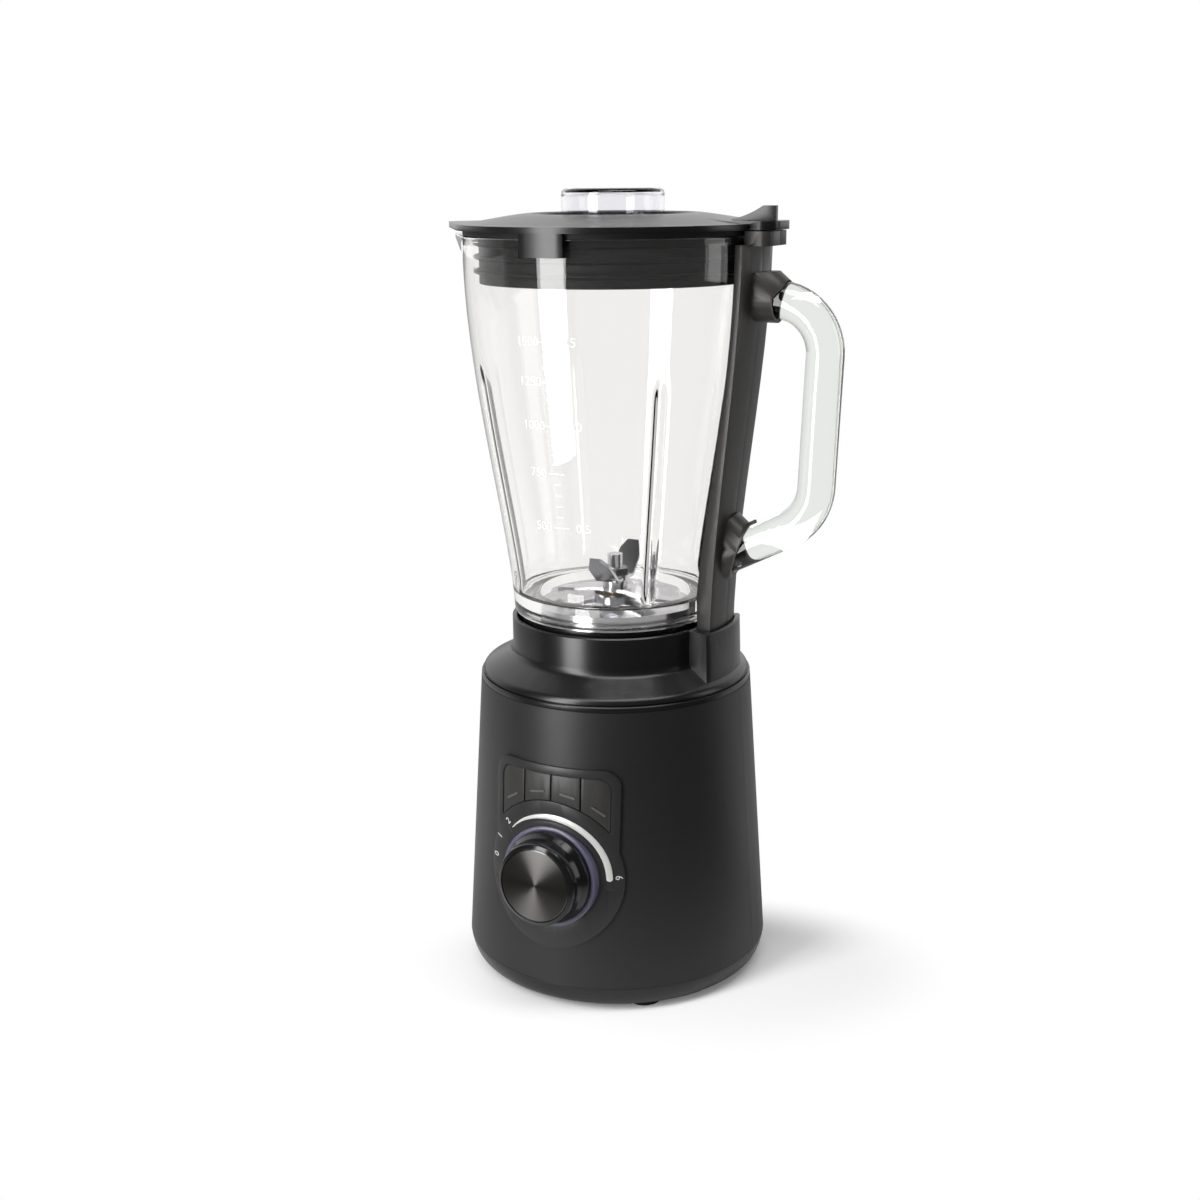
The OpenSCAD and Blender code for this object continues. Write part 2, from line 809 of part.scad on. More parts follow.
module stator_core() color("#77777b") {
  corner = 12;
  translate([0, 0, stack_z]) difference() {
    linear_extrude(height = stack_h) difference() {
      union() {
        square([stack_w, stack_d - 2 * corner], center = true);
        square([stack_w - 2 * corner, stack_d], center = true);
        for (x = [-1, 1], y = [-1, 1])
          translate([x * (stack_w / 2 - corner), y * (stack_d / 2 - corner)]) circle(r = corner);
      }
      circle(r = armature_r + air_gap);
    }
    for (side = [0, 180]) rotate([0, 0, side]) sector(pole_edge)
      block(armature_r, coil_out_r + 0.6, -1, stack_h + 1);
    at_posts(-1) cylinder(r = post_r + seat, h = stack_h + 2);
  }
}

module field_coils() color("#b5651d") {
  for (side = [90, 270]) rotate([0, 0, side]) {
    difference() {
      sector(coil_edge) block(coil_in_r + 1, coil_out_r, stack_z - coil_h, stack_top + coil_h);
      sector(coil_edge - coil_leg) block(coil_in_r, coil_out_r + 1, stack_z - seat, stack_top + seat);
    }
  }
}

// Four arms that reach from the bearing to the screws
module bracket_arms() {
  reach = norm([post_x, post_y]);
  for (side = [-1, 1]) rotate([0, 0, side * atan(post_y / post_x)])
    translate([-reach, -5.5, 0]) cube([2 * reach, 11, bracket_t]);
  at_posts(0) cylinder(r = 7, h = bracket_t);
}

module upper_bracket() color("#a9a9ad") {
  translate([0, 0, upper_bracket_z]) difference() {
    union() {
      bracket_arms();
      translate([0, 0, -2]) cylinder(r = bearing_r + 3, h = bracket_t + 6);
    }
    translate([0, 0, -3]) cylinder(r = bearing_r + run, h = bearing_h + 2);
    cylinder(r = shaft_r + 2, h = 20);
    at_posts(-1) cylinder(r = post_r + seat, h = 10);
  }
  at_posts(stack_top + seat)
    tube(5, post_r + seat, upper_bracket_z - stack_top - seat + eps);
}

module lower_bracket() color("#a9a9ad") {
  translate([0, 0, lower_bearing_z]) difference() {
    union() {
      bracket_arms();
      translate([-post_x, -8, 0]) cube([2 * post_x, 16, bracket_t]);
      translate([0, 0, -3]) cylinder(r = bearing_r + 3, h = bracket_t + 5);
    }
    translate([0, 0, -1]) cylinder(r = bearing_r + run, h = bearing_h + 2);
    translate([0, 0, -4]) cylinder(r = shaft_r + 2, h = 20);
    at_posts(-1) cylinder(r = post_r + seat, h = 10);
  }
  at_posts(lower_bearing_z + bracket_t - eps)
    tube(5, post_r + seat, stack_z - seat - lower_bearing_z - bracket_t + eps);
}

module ball_bearing() {
  tube(bearing_r, bearing_r - 2, bearing_h);
  tube(shaft_r + 2, shaft_r + run, bearing_h);
  translate([0, 0, 1]) tube(bearing_r - 1.9, shaft_r + 1.9, bearing_h - 2);
}

module upper_bearing() color("#c8c8cc")
  translate([0, 0, upper_bracket_z - 3 + (bearing_h + 2) - bearing_h]) ball_bearing();

module lower_bearing() color("#c8c8cc")
  translate([0, 0, lower_bearing_z - 1]) ball_bearing();

module motor_mounts() color("#151515") {
  at_posts(upper_bracket_z + bracket_t + seat)
    tube(mount_r, post_r + seat, mounts_top_z - upper_bracket_z - bracket_t - seat);
}

module motor_screws() color("#b0b0b4") {
  low = lower_bearing_z - seat;
  at_posts(low - 2.6) cylinder(r = 3.8, h = 2.6);
  at_posts(low - 1) cylinder(r = post_r, h = mounts_top_z + screw_grip - low + 1);
}

module brush_holders() color("#6b3f1d") {
  for (side = [0, 180]) rotate([0, 0, side]) difference() {
    union() {
      translate([commutator_r + 2.5, -holder_w / 2, brush_z - holder_h / 2])
        cube([holder_l, holder_w, holder_h]);
      translate([commutator_r + holder_foot_l, -holder_w / 2 - 2, lower_bearing_z + bracket_t + seat])
        cube([holder_foot_l, holder_w + 4, brush_z - holder_h / 2 + 1 - lower_bearing_z - bracket_t]);
    }
    translate([commutator_r, -brush_w / 2 - brush_gap, brush_z - brush_h / 2 - brush_gap])
      cube([brush_l + 5, brush_w + 2 * brush_gap, brush_h + 2 * brush_gap]);
  }
}

module carbon_brushes() color("#2c2c2c") {
  for (side = [0, 180]) rotate([0, 0, side])
    translate([commutator_r + part_gap, -brush_w / 2, brush_z - brush_h / 2])
      cube([brush_l, brush_w, brush_h]);
}

module motor_shaft() color("#c0c0c4") {
  translate([0, 0, shaft_low_z]) cylinder(r = shaft_r, h = shaft_top_z - shaft_low_z);
}

module armature() color("#85858a") {
  slots = 12;
  translate([0, 0, stack_z]) difference() {
    cylinder(r = armature_r, h = stack_h);
    translate([0, 0, -1]) cylinder(r = shaft_r + eps, h = stack_h + 2);
    copies_round(slots, armature_r - 1.2) translate([0, 0, -1]) cylinder(r = 1.6, h = stack_h + 2);
  }
}

module armature_windings() color("#b5651d") {
  for (z = [stack_z - winding_h - seat, stack_top + seat]) translate([0, 0, z])
    rotate_extrude() difference() {
      union() {
        translate([10, 0]) square([8, winding_h]);
        translate([18, 3]) square([3, winding_h - 6]);
        for (c = [3, winding_h - 3]) translate([18, c]) circle(r = 3);
      }
      translate([-1, -1]) square([11, winding_h + 2]);
    }
}

module commutator() color("#b87333") {
  bars = 24;
  translate([0, 0, brush_z - 7]) difference() {
    union() {
      cylinder(r = commutator_r, h = 14);
      translate([0, 0, 11.5]) cylinder(r = commutator_r + 1.4, h = 2.5);
    }
    translate([0, 0, -1]) cylinder(r = shaft_r + eps, h = 16);
    copies_round(bars) translate([commutator_r - 0.8, -0.3, -1]) cube([3, 0.6, 16]);
  }
}

module cooling_fan() color("#2b2b2d") {
  blades = 9;
  translate([0, 0, fan_z]) {
    tube(8, shaft_r + eps, fan_h);
    translate([0, 0, fan_h - 2]) tube(fan_r, shaft_r + 1, 2);
    copies_round(blades) intersection() {
      translate([32, 0, 0]) difference() {
        cylinder(r = 26, h = fan_h - 1);
        translate([0, 0, -1]) cylinder(r = 24.6, h = fan_h + 1);
      }
      translate([7, 0, 0]) cube([fan_r, 26, fan_h]);
      cylinder(r = fan_r - 0.6, h = fan_h);
    }
  }
}

// Outline with one tooth per lobe, for both halves of the coupling
module lobes(r, grow = 0) {
  circle(r = r * 0.62 + grow);
  for (i = [0:lobe_count - 1]) rotate(i * 360 / lobe_count) {
    translate([0, -1.9 - grow]) square([r - 1.9, 3.8 + 2 * grow]);
    translate([r - 1.9, 0]) circle(r = 1.9 + grow);
  }
}

module drive_coupling() color("#1a1a1a") {
  translate([0, 0, socket_z]) difference() {
    union() {
      cylinder(r = socket_r, h = socket_h - 1);
      cylinder(r = socket_r - 1, h = socket_h);
    }
    translate([0, 0, 2]) linear_extrude(height = socket_h) lobes(lobe_r, part_gap);
    translate([0, 0, -1]) cylinder(r = shaft_r + eps, h = 4);
  }
}

module drip_seal() color("#101010") {
  translate([0, 0, well_floor_z - wall - 1.2]) difference() {
    union() {
      cylinder(r = seal_hole_r - seat, h = wall + 1.2);
      translate([0, 0, -0.8]) cylinder(r = seal_hole_r + 2, h = 1.9);
    }
    translate([0, 0, -2]) cylinder(r = shaft_r + part_gap, h = 9);
  }
}

module interlock_switch() color("#3a3a3d") {
  rotate([0, 0, interlock_angle]) translate([interlock_r - 7, -4, well_floor_z - wall - 19])
    cube([14, 8, 10]);
  rotate([0, 0, interlock_angle]) translate([interlock_r - 7, -5.6, well_floor_z - wall - 12])
    cube([2.2, 11.2, 12 - seat]);
}

module interlock_pin() color("#c33b2f") {
  rotate([0, 0, interlock_angle]) translate([interlock_r, 0, 0]) {
    translate([0, 0, well_floor_z - wall - 7.5]) cylinder(r = pin_r, h = 7.5 + wall);
    translate([0, 0, well_floor_z - wall - 4.2]) cylinder(r = pin_r + 1.4, h = 3);
  }
}

// ---- Jug ----

module glass_jug() color([0.75, 0.85, 0.8, 0.4]) {
  difference() {
    union() {
      jug_body();
      spout_cone(0, 1);
      glass_handle();
    }
    jug_hollow();
    intersection() {
      spout_cone(glass_wall - 1.2, 0);
      translate([-far, -far / 2, spout_z - 30]) cube([far, far, far]);
    }
    translate([0, 0, rim_z]) cylinder(r = far, h = 60);
  }
  difference() {
    for (a = [45:90:315]) rotate([0, 0, a]) wall_rib();
    jug_shell_outside();
  }
}

module jug_body() {
  rotate_extrude() {
    polygon(concat([[0, jug_low_z], [jug_low_r - 5, jug_low_z], [jug_low_r - 1.6, jug_low_z + 0.9]],
                   outer_wall, [[jug_rim_r + 0.4, rim_z - 1], [jug_rim_r - 0.4, rim_z], [0, rim_z]]));
    block(0, neck_r, neck_z, jug_low_z + 1);
  }
}

module jug_hollow() {
  last = inner_wall[len(inner_wall) - 1];
  rotate_extrude() {
    polygon(concat([[0, floor_z], [inner_low_r - 5, floor_z], [inner_low_r - 1, floor_z + 1.6]],
                   inner_wall, [[last[0] + 0.2, rim_z - 1], [last[0] + 1, rim_z + 1], [0, rim_z + 1]]));
    block(0, neck_in_r, neck_z - 1, floor_z + 1);
  }
}

// What lies outside the middle of the glass, to trim the ribs
module jug_shell_outside() {
  rotate_extrude() polygon(concat([[far, floor_z - 20], [inner_low_r + 1.2, floor_z - 20]],
                                  widened(inner_wall, glass_wall / 2), [[far, rim_z]]));
}

module wall_rib() {
  low = inner_at(rib_low_z);
  top = inner_at(rib_top_z);
  length = norm([top - low, rib_top_z - rib_low_z]);
  translate([low - rib_sink, 0, rib_low_z]) rotate([0, atan2(top - low, rib_top_z - rib_low_z), 0]) {
    cylinder(r = rib_r, h = length);
    sphere(r = rib_r);
    translate([0, 0, length]) sphere(r = rib_r);
  }
}

// Cone that leans out of the wall and forms the pouring lip
module spout_cone(inset, extra) {
  lean = atan((spout_reach - spout_r - (jug_rim_r - 6)) / (rim_z - spout_z));
  reach = (rim_z - spout_z) / cos(lean);
  intersection() {
    translate([-(jug_rim_r - 6), 0, spout_z]) rotate([0, -lean, 0])
      cylinder(r1 = 3 - min(inset, 2.4), r2 = spout_r * 1.35 - inset, h = reach * 1.3);
    translate([0, 0, spout_z - 10]) cylinder(r = spout_reach - inset, h = far);
    translate([-far, -far / 2, 0]) cube([far - 40, far, rim_z + 1 + extra]);
  }
}

// Round bar along a route in the XZ plane, with a bend at each inner corner
module bent_bar(route, bends, r) {
  count = len(route);
  trims = [for (i = [0:count - 1]) i == 0 || i == count - 1 ? 0
           : bends[i - 1] * tan(turn_at(route, i) / 2)];
  for (i = [0:count - 2]) {
    way = route[i + 1] - route[i];
    before = i == 0 ? 0 : bar_overlap;
    after = i == count - 2 ? 0 : bar_overlap;
    start = route[i] + way / norm(way) * (trims[i] - before);
    translate([start[0], 0, start[1]]) rotate([0, atan2(way[0], way[1]), 0])
      cylinder(r = r - bar_step, h = norm(way) - trims[i] - trims[i + 1] + before + after);
  }
  for (i = [1:count - 2]) {
    back = (route[i - 1] - route[i]) / norm(route[i - 1] - route[i]);
    on = (route[i + 1] - route[i]) / norm(route[i + 1] - route[i]);
    inward = (back + on) / norm(back + on);
    centre = route[i] + inward * norm([bends[i - 1], trims[i]]);
    from = atan2((route[i] + on * trims[i] - centre)[1], (route[i] + on * trims[i] - centre)[0]);
    translate([centre[0], 0, centre[1]]) rotate([90, 0, 0]) rotate([0, 0, from])
      rotate_extrude(angle = turn_at(route, i)) translate([bends[i - 1], 0]) circle(r = r);
  }
}
function turn_at(route, i) =
  let (a = route[i] - route[i - 1], b = route[i + 1] - route[i])
  acos((a * b) / (norm(a) * norm(b)));

module glass_handle() {
  bent_bar(handle_route, handle_bends, handle_r);
}

// Both halves of the cover, joined, before they are split at the handle
strip_outer = curve([[strip_low_r, strip_low_z], [strip_low_r, 245],
                     [strip_top_r - 1.1, 315], [strip_top_r, strip_top_z]], 12);
strip_seat = [for (q = outer_wall) if (q[1] < strip_top_z) [q[0] + strip_gap, q[1]]];

module cover_profile() {
  seat_r = collar_r + 0.2 + part_gap;
  polygon(concat([[seat_r, strip_low_z], [seat_r, collar_z + 1]],
                 [for (q = strip_seat) if (q[1] > collar_z + 8) q],
                 [[jug_rim_r + 0.2 + strip_gap, strip_top_z]], reversed(strip_outer)));
}

module cover_shell_profile() {
  difference() {
    cover_profile();
    translate([-strip_wall, 0]) polygon(concat([[0, strip_low_z + 2], [0, strip_top_z - strip_wall]],
      [for (q = reversed(strip_outer)) if (q[1] > strip_low_z + 2 && q[1] < strip_top_z - strip_wall) q]));
  }
}

// One half of the cover: side is -1 for the front half and 1 for the rear
module handle_cover(side) {
  mirror([0, side < 0 ? 0 : 1, 0]) difference() {
    union() {
      rotate([0, 0, -strip_half_angle]) rotate_extrude(angle = strip_half_angle)
        cover_shell_profile();
      rotate([0, 0, -strip_half_angle]) rotate_extrude(angle = 2.2) cover_profile();
      intersection() {
        union() {
          upper_sleeve();
          lower_sleeve();
        }
        outside_seat();
      }
      thumb_rest();
    }
    along_arm(handle_route[0], handle_route[1]) cylinder(r = handle_r + arm_gap, h = 60);
    along_arm(handle_route[3], handle_route[2]) cylinder(r = handle_r + arm_gap, h = 80);
    translate([0, -seat / 2, 0]) cube([far, far, far * 2]);
  }
}

// Stands on the first point with +Z towards the second one
module along_arm(from, to) {
  way = to - from;
  translate([from[0], 0, from[1]]) rotate([0, atan2(way[0], way[1]), 0]) children();
}

// Sleeves round the ends of the glass handle, each with a sloping upper flank
module upper_sleeve() {
  translate([upper_sleeve_x - 30, 0, handle_top_z]) rotate([0, 90, 0])
    cylinder(r = sleeve_r, h = 30);
  sleeve_flank([upper_sleeve_x - 1, handle_top_z]);
}

module lower_sleeve() {
  intersection() {
    union() {
      along_arm(handle_route[3], handle_route[2]) cylinder(r = sleeve_r, h = 50);
      sleeve_flank([lower_sleeve_x, lower_sleeve_z]);
    }
    translate([lower_sleeve_x, -far / 2, lower_sleeve_z]) rotate([0, sleeve_face_lean, 0])
      translate([-far, 0, -far / 2]) cube([far, far, far]);
  }
}

module sleeve_flank(at) {
  translate([at[0], 0, at[1]]) rotate([0, -90 + sleeve_flank_angle, 0])
    cylinder(r = sleeve_r, h = 14);
}

module outside_seat() {
  rotate_extrude() polygon(concat([[strip_seat[0][0] + strip_wall, strip_seat[0][1]]],
    [for (q = strip_seat) [q[0] + strip_wall / 2, q[1]]],
    [[far, strip_top_z], [far, strip_seat[0][1]]]));
}

module thumb_rest() {
  round_r = 5;
  z_low = thumb_top_z - thumb_t;
  difference() {
    translate([0, 0, z_low]) linear_extrude(height = thumb_t) {
      translate([60, -thumb_half_w]) square([thumb_x - round_r - 60, 2 * thumb_half_w]);
      translate([60, -thumb_half_w + round_r]) square([thumb_x - 60, 2 * (thumb_half_w - round_r)]);
      for (s = [-1, 1]) translate([thumb_x - round_r, s * (thumb_half_w - round_r)]) circle(r = round_r);
    }
    translate([0, 0, z_low - 1]) cylinder(r = jug_rim_r + 0.8 + strip_gap, h = thumb_t + 2);
  }
}

module handle_cover_front() color("#211e1d") handle_cover(-1);
module handle_cover_rear() color("#211e1d") handle_cover(1);

module jug_base() color("#161617") {
  grips = 24;
  translate([0, 0, base_z]) {
    tube(base_out_r - 1, base_in_r, base_top_z - base_z);
    tube(base_out_r - 1, neck_in_r - 6, base_floor_t);
    copies_round(grips, base_out_r - 1) translate([0, 0, 3])
      cylinder(r = 0.8, h = base_top_z - base_z - 5);
  }
}

module blade_carrier() color("#8b8b8f") {
  rotate_extrude() difference() {
    union() {
      block(0, neck_r - 0.5, carrier_z, carrier_z + carrier_t);
      polygon([[0, carrier_z], [carrier_r, carrier_z], [carrier_r, floor_z - 5],
               [hub_r, hub_z - 3.5], [bush_out_r + 5, hub_z], [0, hub_z]]);
      block(0, bush_out_r + 3, hub_z - 2, bush_top_z);
    }
    polygon([[-1, carrier_z - 1], [neck_in_r - 3, carrier_z - 1], [neck_in_r - 3, carrier_z + 6],
             [hub_in_r, hub_z - 7], [bush_out_r + 3, hub_z - hub_roof_t], [-1, hub_z - hub_roof_t]]);
    block(-1, bush_out_r + eps, carrier_z - 1, bush_top_z + 1);
  }
}

module blade_gasket() color("#d9d9d2") {
  translate([0, 0, gasket_z]) tube(neck_r - 0.2, neck_in_r + 0.6, gasket_t);
}

module blade_bush() color("#a57c3c") {
  translate([0, 0, bush_z]) tube(bush_out_r, blade_shaft_r + run, bush_top_z - bush_z);
}

module blade_shaft() color("#c9c9cc") {
  translate([0, 0, driven_z]) cylinder(r = blade_shaft_r, h = blade_top_z + 6 - driven_z);
}

// A pair of opposed blades with tapered tips, bent up or down at the root
module blade_pair(reach, bend) {
  root = 9;
  along = [cos(bend), sin(bend)];
  up = [-sin(bend), cos(bend)];
  tip = [root, 0] + reach * along;
  difference() {
    union() {
      cylinder(r = blade_w / 2 + 1, h = blade_t);
      for (a = [0, 180]) rotate([0, 0, a]) intersection() {
        rotate([90, 0, 0]) linear_extrude(height = 2 * blade_w, center = true)
          polygon([[0, 0], [root, 0], tip, tip + blade_t * up,
                   [root - blade_t * tan(bend / 2), blade_t], [0, blade_t]]);
        linear_extrude(height = far, center = true)
          polygon([[0, -blade_w / 2], [root + reach * 0.4, -blade_w / 2],
                   [tip[0] + 1, -blade_w * 0.1], [tip[0] + 1, blade_w * 0.2],
                   [root + reach * 0.5, blade_w / 2], [0, blade_w / 2]]);
      }
    }
    translate([0, 0, -1]) cylinder(r = blade_shaft_r + eps, h = blade_t + 2);
  }
}

module lower_blades() color("#d2d2d6")
  translate([0, 0, blade_z]) blade_pair(blade_r - 9, -8);

module upper_blades() color("#d2d2d6")
  translate([0, 0, blade_z + blade_t + 4 + 2 * seat]) rotate([0, 0, 90]) blade_pair(blade_r - 11, 42);

module blade_spacer() color("#b5b5b9")
  translate([0, 0, blade_z + blade_t + seat]) tube(blade_shaft_r + 2.6, blade_shaft_r + eps, 4);

module blade_nut() color("#b5b5b9") {
  translate([0, 0, blade_z + 2 * blade_t + 4 + 3 * seat]) difference() {
    union() {
      cylinder(r = 7.2, h = 4.5, $fn = 6);
      cylinder(r = 7.6, h = 1);
    }
    translate([0, 0, -1]) cylinder(r = blade_shaft_r + eps, h = 8);
  }
}

module driven_coupling() color("#9c9ca0") {
  translate([0, 0, driven_z]) difference() {
    linear_extrude(height = driven_h) lobes(lobe_r);
    translate([0, 0, -1]) cylinder(r = blade_shaft_r + eps, h = driven_h + 2);
  }
}

// ---- Lid and measuring cap ----

// Circle with a rounded beak towards -X, joined by its tangents
module beak_outline(r, tip_r, reach) {
  d = reach - tip_r;
  a = acos((r - tip_r) / d);
  circle(r = r);
  translate([-d, 0]) circle(r = tip_r);
  polygon([[-r * cos(a), r * sin(a)], [-d - tip_r * cos(a), tip_r * sin(a)],
           [-d - tip_r * cos(a), -tip_r * sin(a)], [-r * cos(a), -r * sin(a)]]);
}

module lid() color("#1d1d1f") {
  difference() {
    union() {
      translate([0, 0, flange_z]) linear_extrude(height = flange_t) {
        beak_outline(lid_r, spout_tip_r, spout_cover);
      }
      rotate_extrude() polygon(concat(
        curve([[lid_r - 4, flange_top_z - eps], [lid_r - 14, flange_top_z + 1.4],
               [crest_r + 14, crest_z - 1.2], [crest_r + 3, crest_z]], 8),
        [[crest_r, crest_z], [crest_r - 1, crest_z - 0.6], [crest_r - 1, flange_top_z - eps]]));
      lid_tab();
      // Skirt that enters the jug
      translate([0, 0, skirt_z]) tube(skirt_r, skirt_r - lid_wall, flange_z - skirt_z + 1);
      // Recess round the cap
      translate([0, 0, recess_z]) cylinder(r = crest_r - 0.5, h = lid_wall);
      translate([0, 0, recess_z - 6]) cylinder(r = cap_hole_r + 2.2, h = 6 + lid_wall / 2);
      rotate_extrude() block(crest_r - 1 - lid_wall, crest_r - 1, recess_z, crest_z - 0.6);
      for (a = [90, 270]) rotate([0, 0, a]) sector(lug_half_angle)
        block(lid_r - 0.8 - lug_t, lid_r - 0.8, flange_z - lug_drop, flange_z + 1);
    }
    // Recess over the hole for the cap
    translate([0, 0, recess_z + lid_wall]) cylinder(r = crest_r - 1 - lid_wall, h = 40);
    translate([0, 0, recess_z - 10]) cylinder(r = cap_hole_r, h = 40);
    // Underside of the dome
    rotate_extrude() polygon([[crest_r + 2.4, flange_z - 5], [skirt_r - lid_wall - eps, flange_z - 5],
      [skirt_r - lid_wall - eps, flange_z], [crest_r + 8, flange_top_z + crest_h * 0.35],
      [crest_r + 2.4, flange_top_z + crest_h * 0.4]]);
  }
}

module lid_tab() {
  round_r = 8;
  translate([0, 0, flange_z]) linear_extrude(height = tab_t) {
    translate([60, -tab_half_w]) square([tab_reach - round_r - 60, 2 * tab_half_w]);
    translate([60, -tab_half_w + round_r]) square([tab_reach - 60, 2 * (tab_half_w - round_r)]);
    for (s = [-1, 1]) translate([tab_reach - round_r, s * (tab_half_w - round_r)]) circle(r = round_r);
  }
  // Upright fin for the thumb
  top = flange_z + tab_t;
  translate([0, fin_t / 2, 0]) rotate([90, 0, 0]) linear_extrude(height = fin_t)
    polygon(concat(curve([[55, top - 0.6], [66, top + 0.4], [73, top + 2.6], [79.8, top + 7]], 8),
                   [[86.2, top + 7], [86.2, top - 2], [56, top - 2]]));
}

module lid_seal() color("#0d0d0d") {
  rotate_extrude() {
    block(seal_in_r, skirt_r + 2, seal_low_z, seal_top_z);
    block(seal_in_r, seal_rim_r, rim_z + part_gap, seal_top_z);
    for (i = [0:2]) translate([skirt_r + 1, seal_low_z + 1.6 + 7 * i])
      polygon([[0, -1.4], [seal_lip_r - skirt_r - 1, 0.4], [seal_lip_r - skirt_r - 1, 1.4], [0, 1.4]]);
  }
  // Foot under the skirt
  rotate_extrude() block(skirt_r - lid_wall, skirt_r + 2, seal_low_z - 2 - 1.4, skirt_z - seat);
  rotate_extrude() block(seal_in_r, skirt_r + 2, skirt_z - 1, seal_low_z + 1);
}

module measuring_cap() color([0.85, 0.85, 0.95, 0.45]) {
  edge = 2.4;
  rotate_extrude() difference() {
    union() {
      block(0, cap_r, cap_z, cap_top_z - edge);
      block(0, cap_r - edge, cap_z, cap_top_z);
      translate([cap_r - edge, cap_top_z - edge]) circle(r = edge);
      block(0, cap_skirt_r, cap_skirt_z, cap_z + 1);
    }
    block(-1, cap_r - cap_wall, cap_z + cap_wall, cap_top_z - cap_wall - 1);
    block(-1, cap_r - cap_wall - 1, cap_z + cap_wall, cap_top_z - cap_wall);
    block(-1, cap_skirt_r - cap_wall, cap_skirt_z - 1, cap_top_z - cap_wall - 1);
    translate([-30, 0]) square([30, far * 2]);
  }
}

translate([axis_x, axis_y, 0]) {
  motor_housing();
  top_cover();
  bottom_cover();
  rubber_feet();
  bottom_screws();
  cord_inlet();
  control_panel();
  speed_arc();
  light_ring();
  control_board();
  button_switches();
  speed_switch();
  speed_knob();
  knob_disc();
  knob_spindle();
  smoothie_button();
  clean_button();
  ice_button();
  pulse_button();
  stator_core();
  field_coils();
  upper_bracket();
  lower_bracket();
  upper_bearing();
  lower_bearing();
  motor_mounts();
  motor_screws();
  brush_holders();
  carbon_brushes();
  motor_shaft();
  armature();
  armature_windings();
  commutator();
  cooling_fan();
  drive_coupling();
  drip_seal();
  interlock_switch();
  interlock_pin();
  glass_jug();
  handle_cover_front();
  handle_cover_rear();
  jug_base();
  blade_carrier();
  blade_gasket();
  blade_bush();
  blade_shaft();
  lower_blades();
  upper_blades();
  blade_spacer();
  blade_nut();
  driven_coupling();
  lid();
  lid_seal();
  measuring_cap();
}
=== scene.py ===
import json
import math

import bmesh
import bpy
from mathutils import Matrix, Vector


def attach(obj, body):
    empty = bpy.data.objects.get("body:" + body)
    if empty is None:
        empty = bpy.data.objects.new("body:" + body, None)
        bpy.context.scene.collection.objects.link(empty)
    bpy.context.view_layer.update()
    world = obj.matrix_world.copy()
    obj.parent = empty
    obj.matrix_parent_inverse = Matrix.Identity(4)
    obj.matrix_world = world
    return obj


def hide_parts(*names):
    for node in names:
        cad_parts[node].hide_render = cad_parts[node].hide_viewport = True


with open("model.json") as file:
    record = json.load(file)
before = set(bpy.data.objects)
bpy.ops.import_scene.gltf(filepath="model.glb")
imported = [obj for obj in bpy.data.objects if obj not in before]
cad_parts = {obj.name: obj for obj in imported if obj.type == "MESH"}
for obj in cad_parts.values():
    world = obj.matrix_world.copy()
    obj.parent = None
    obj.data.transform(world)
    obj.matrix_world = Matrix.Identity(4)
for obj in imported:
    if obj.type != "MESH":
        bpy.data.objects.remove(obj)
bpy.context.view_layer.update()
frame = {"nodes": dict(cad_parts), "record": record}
nodes = frame["nodes"]
slot_of = {part["node"]: part["material_slot"] for part in frame["record"]["subparts"]}
MM = 0.001

# ---- Studio ----
# A pale sweep of paper, one tall soft box at the front left, a flat one
# overhead and a weak one at the right, as for a catalogue picture.


def placed(name, data):
    """A new object of this data, in the scene."""
    thing = bpy.data.objects.new(name, data)
    bpy.context.scene.collection.objects.link(thing)
    return thing


motor_axis = Vector((-13.6, 6, 0)) * MM
camera_turn, camera_tilt, camera_roll = math.radians(26.5), math.radians(15), math.radians(-0.5)
camera_back, camera_left, camera_up = 0.8135, 0.0081, 0.4153
to_right = Vector((math.cos(camera_turn), math.sin(camera_turn), 0))
to_back = Vector((-math.sin(camera_turn), math.cos(camera_turn), 0))
camera_data = bpy.data.cameras.new("camera")
camera_data.lens, camera_data.sensor_width = 47.82, 36
camera_data.clip_start, camera_data.clip_end = 0.01, 50
camera = placed("camera", camera_data)
camera.location = (motor_axis - camera_back * to_back - camera_left * to_right
                   + Vector((0, 0, camera_up)))
camera.rotation_euler = (Matrix.Rotation(camera_turn, 3, "Z")
                         @ Matrix.Rotation(math.pi / 2 - camera_tilt, 3, "X")
                         @ Matrix.Rotation(camera_roll, 3, "Z")).to_euler()
bpy.context.scene.camera = camera
bpy.context.scene.view_settings.view_transform = "Standard"


def mesh_piece(name, verts, faces, smooth=True):
    """A mesh object from points in metres, measured from the motor axis."""
    mesh = bpy.data.meshes.new(name)
    mesh.from_pydata([tuple(Vector(v) + motor_axis) for v in verts], [], faces)
    mesh.update()
    if smooth:
        mesh.polygons.foreach_set("use_smooth", [True] * len(mesh.polygons))
    return placed(name, mesh)


def node_tree_of(owner):
    """The owner's node tree, emptied."""
    owner.use_nodes = True
    tree = owner.node_tree
    tree.nodes.clear()
    return tree


def math_node(tree, operation, *values):
    """Output of a Math node whose inputs are linked sockets or plain numbers."""
    node = tree.nodes.new("ShaderNodeMath")
    node.operation = operation
    for i, value in enumerate(values):
        if isinstance(value, bpy.types.NodeSocket):
            tree.links.new(value, node.inputs[i])
        else:
            node.inputs[i].default_value = value
    return node.outputs[0]


def vector_node(tree, operation, first, second=None):
    """A Vector Math node with a linked first input and a constant second one."""
    node = tree.nodes.new("ShaderNodeVectorMath")
    node.operation = operation
    tree.links.new(first, node.inputs[0])
    if second is not None:
        node.inputs[1].default_value = second
    return node


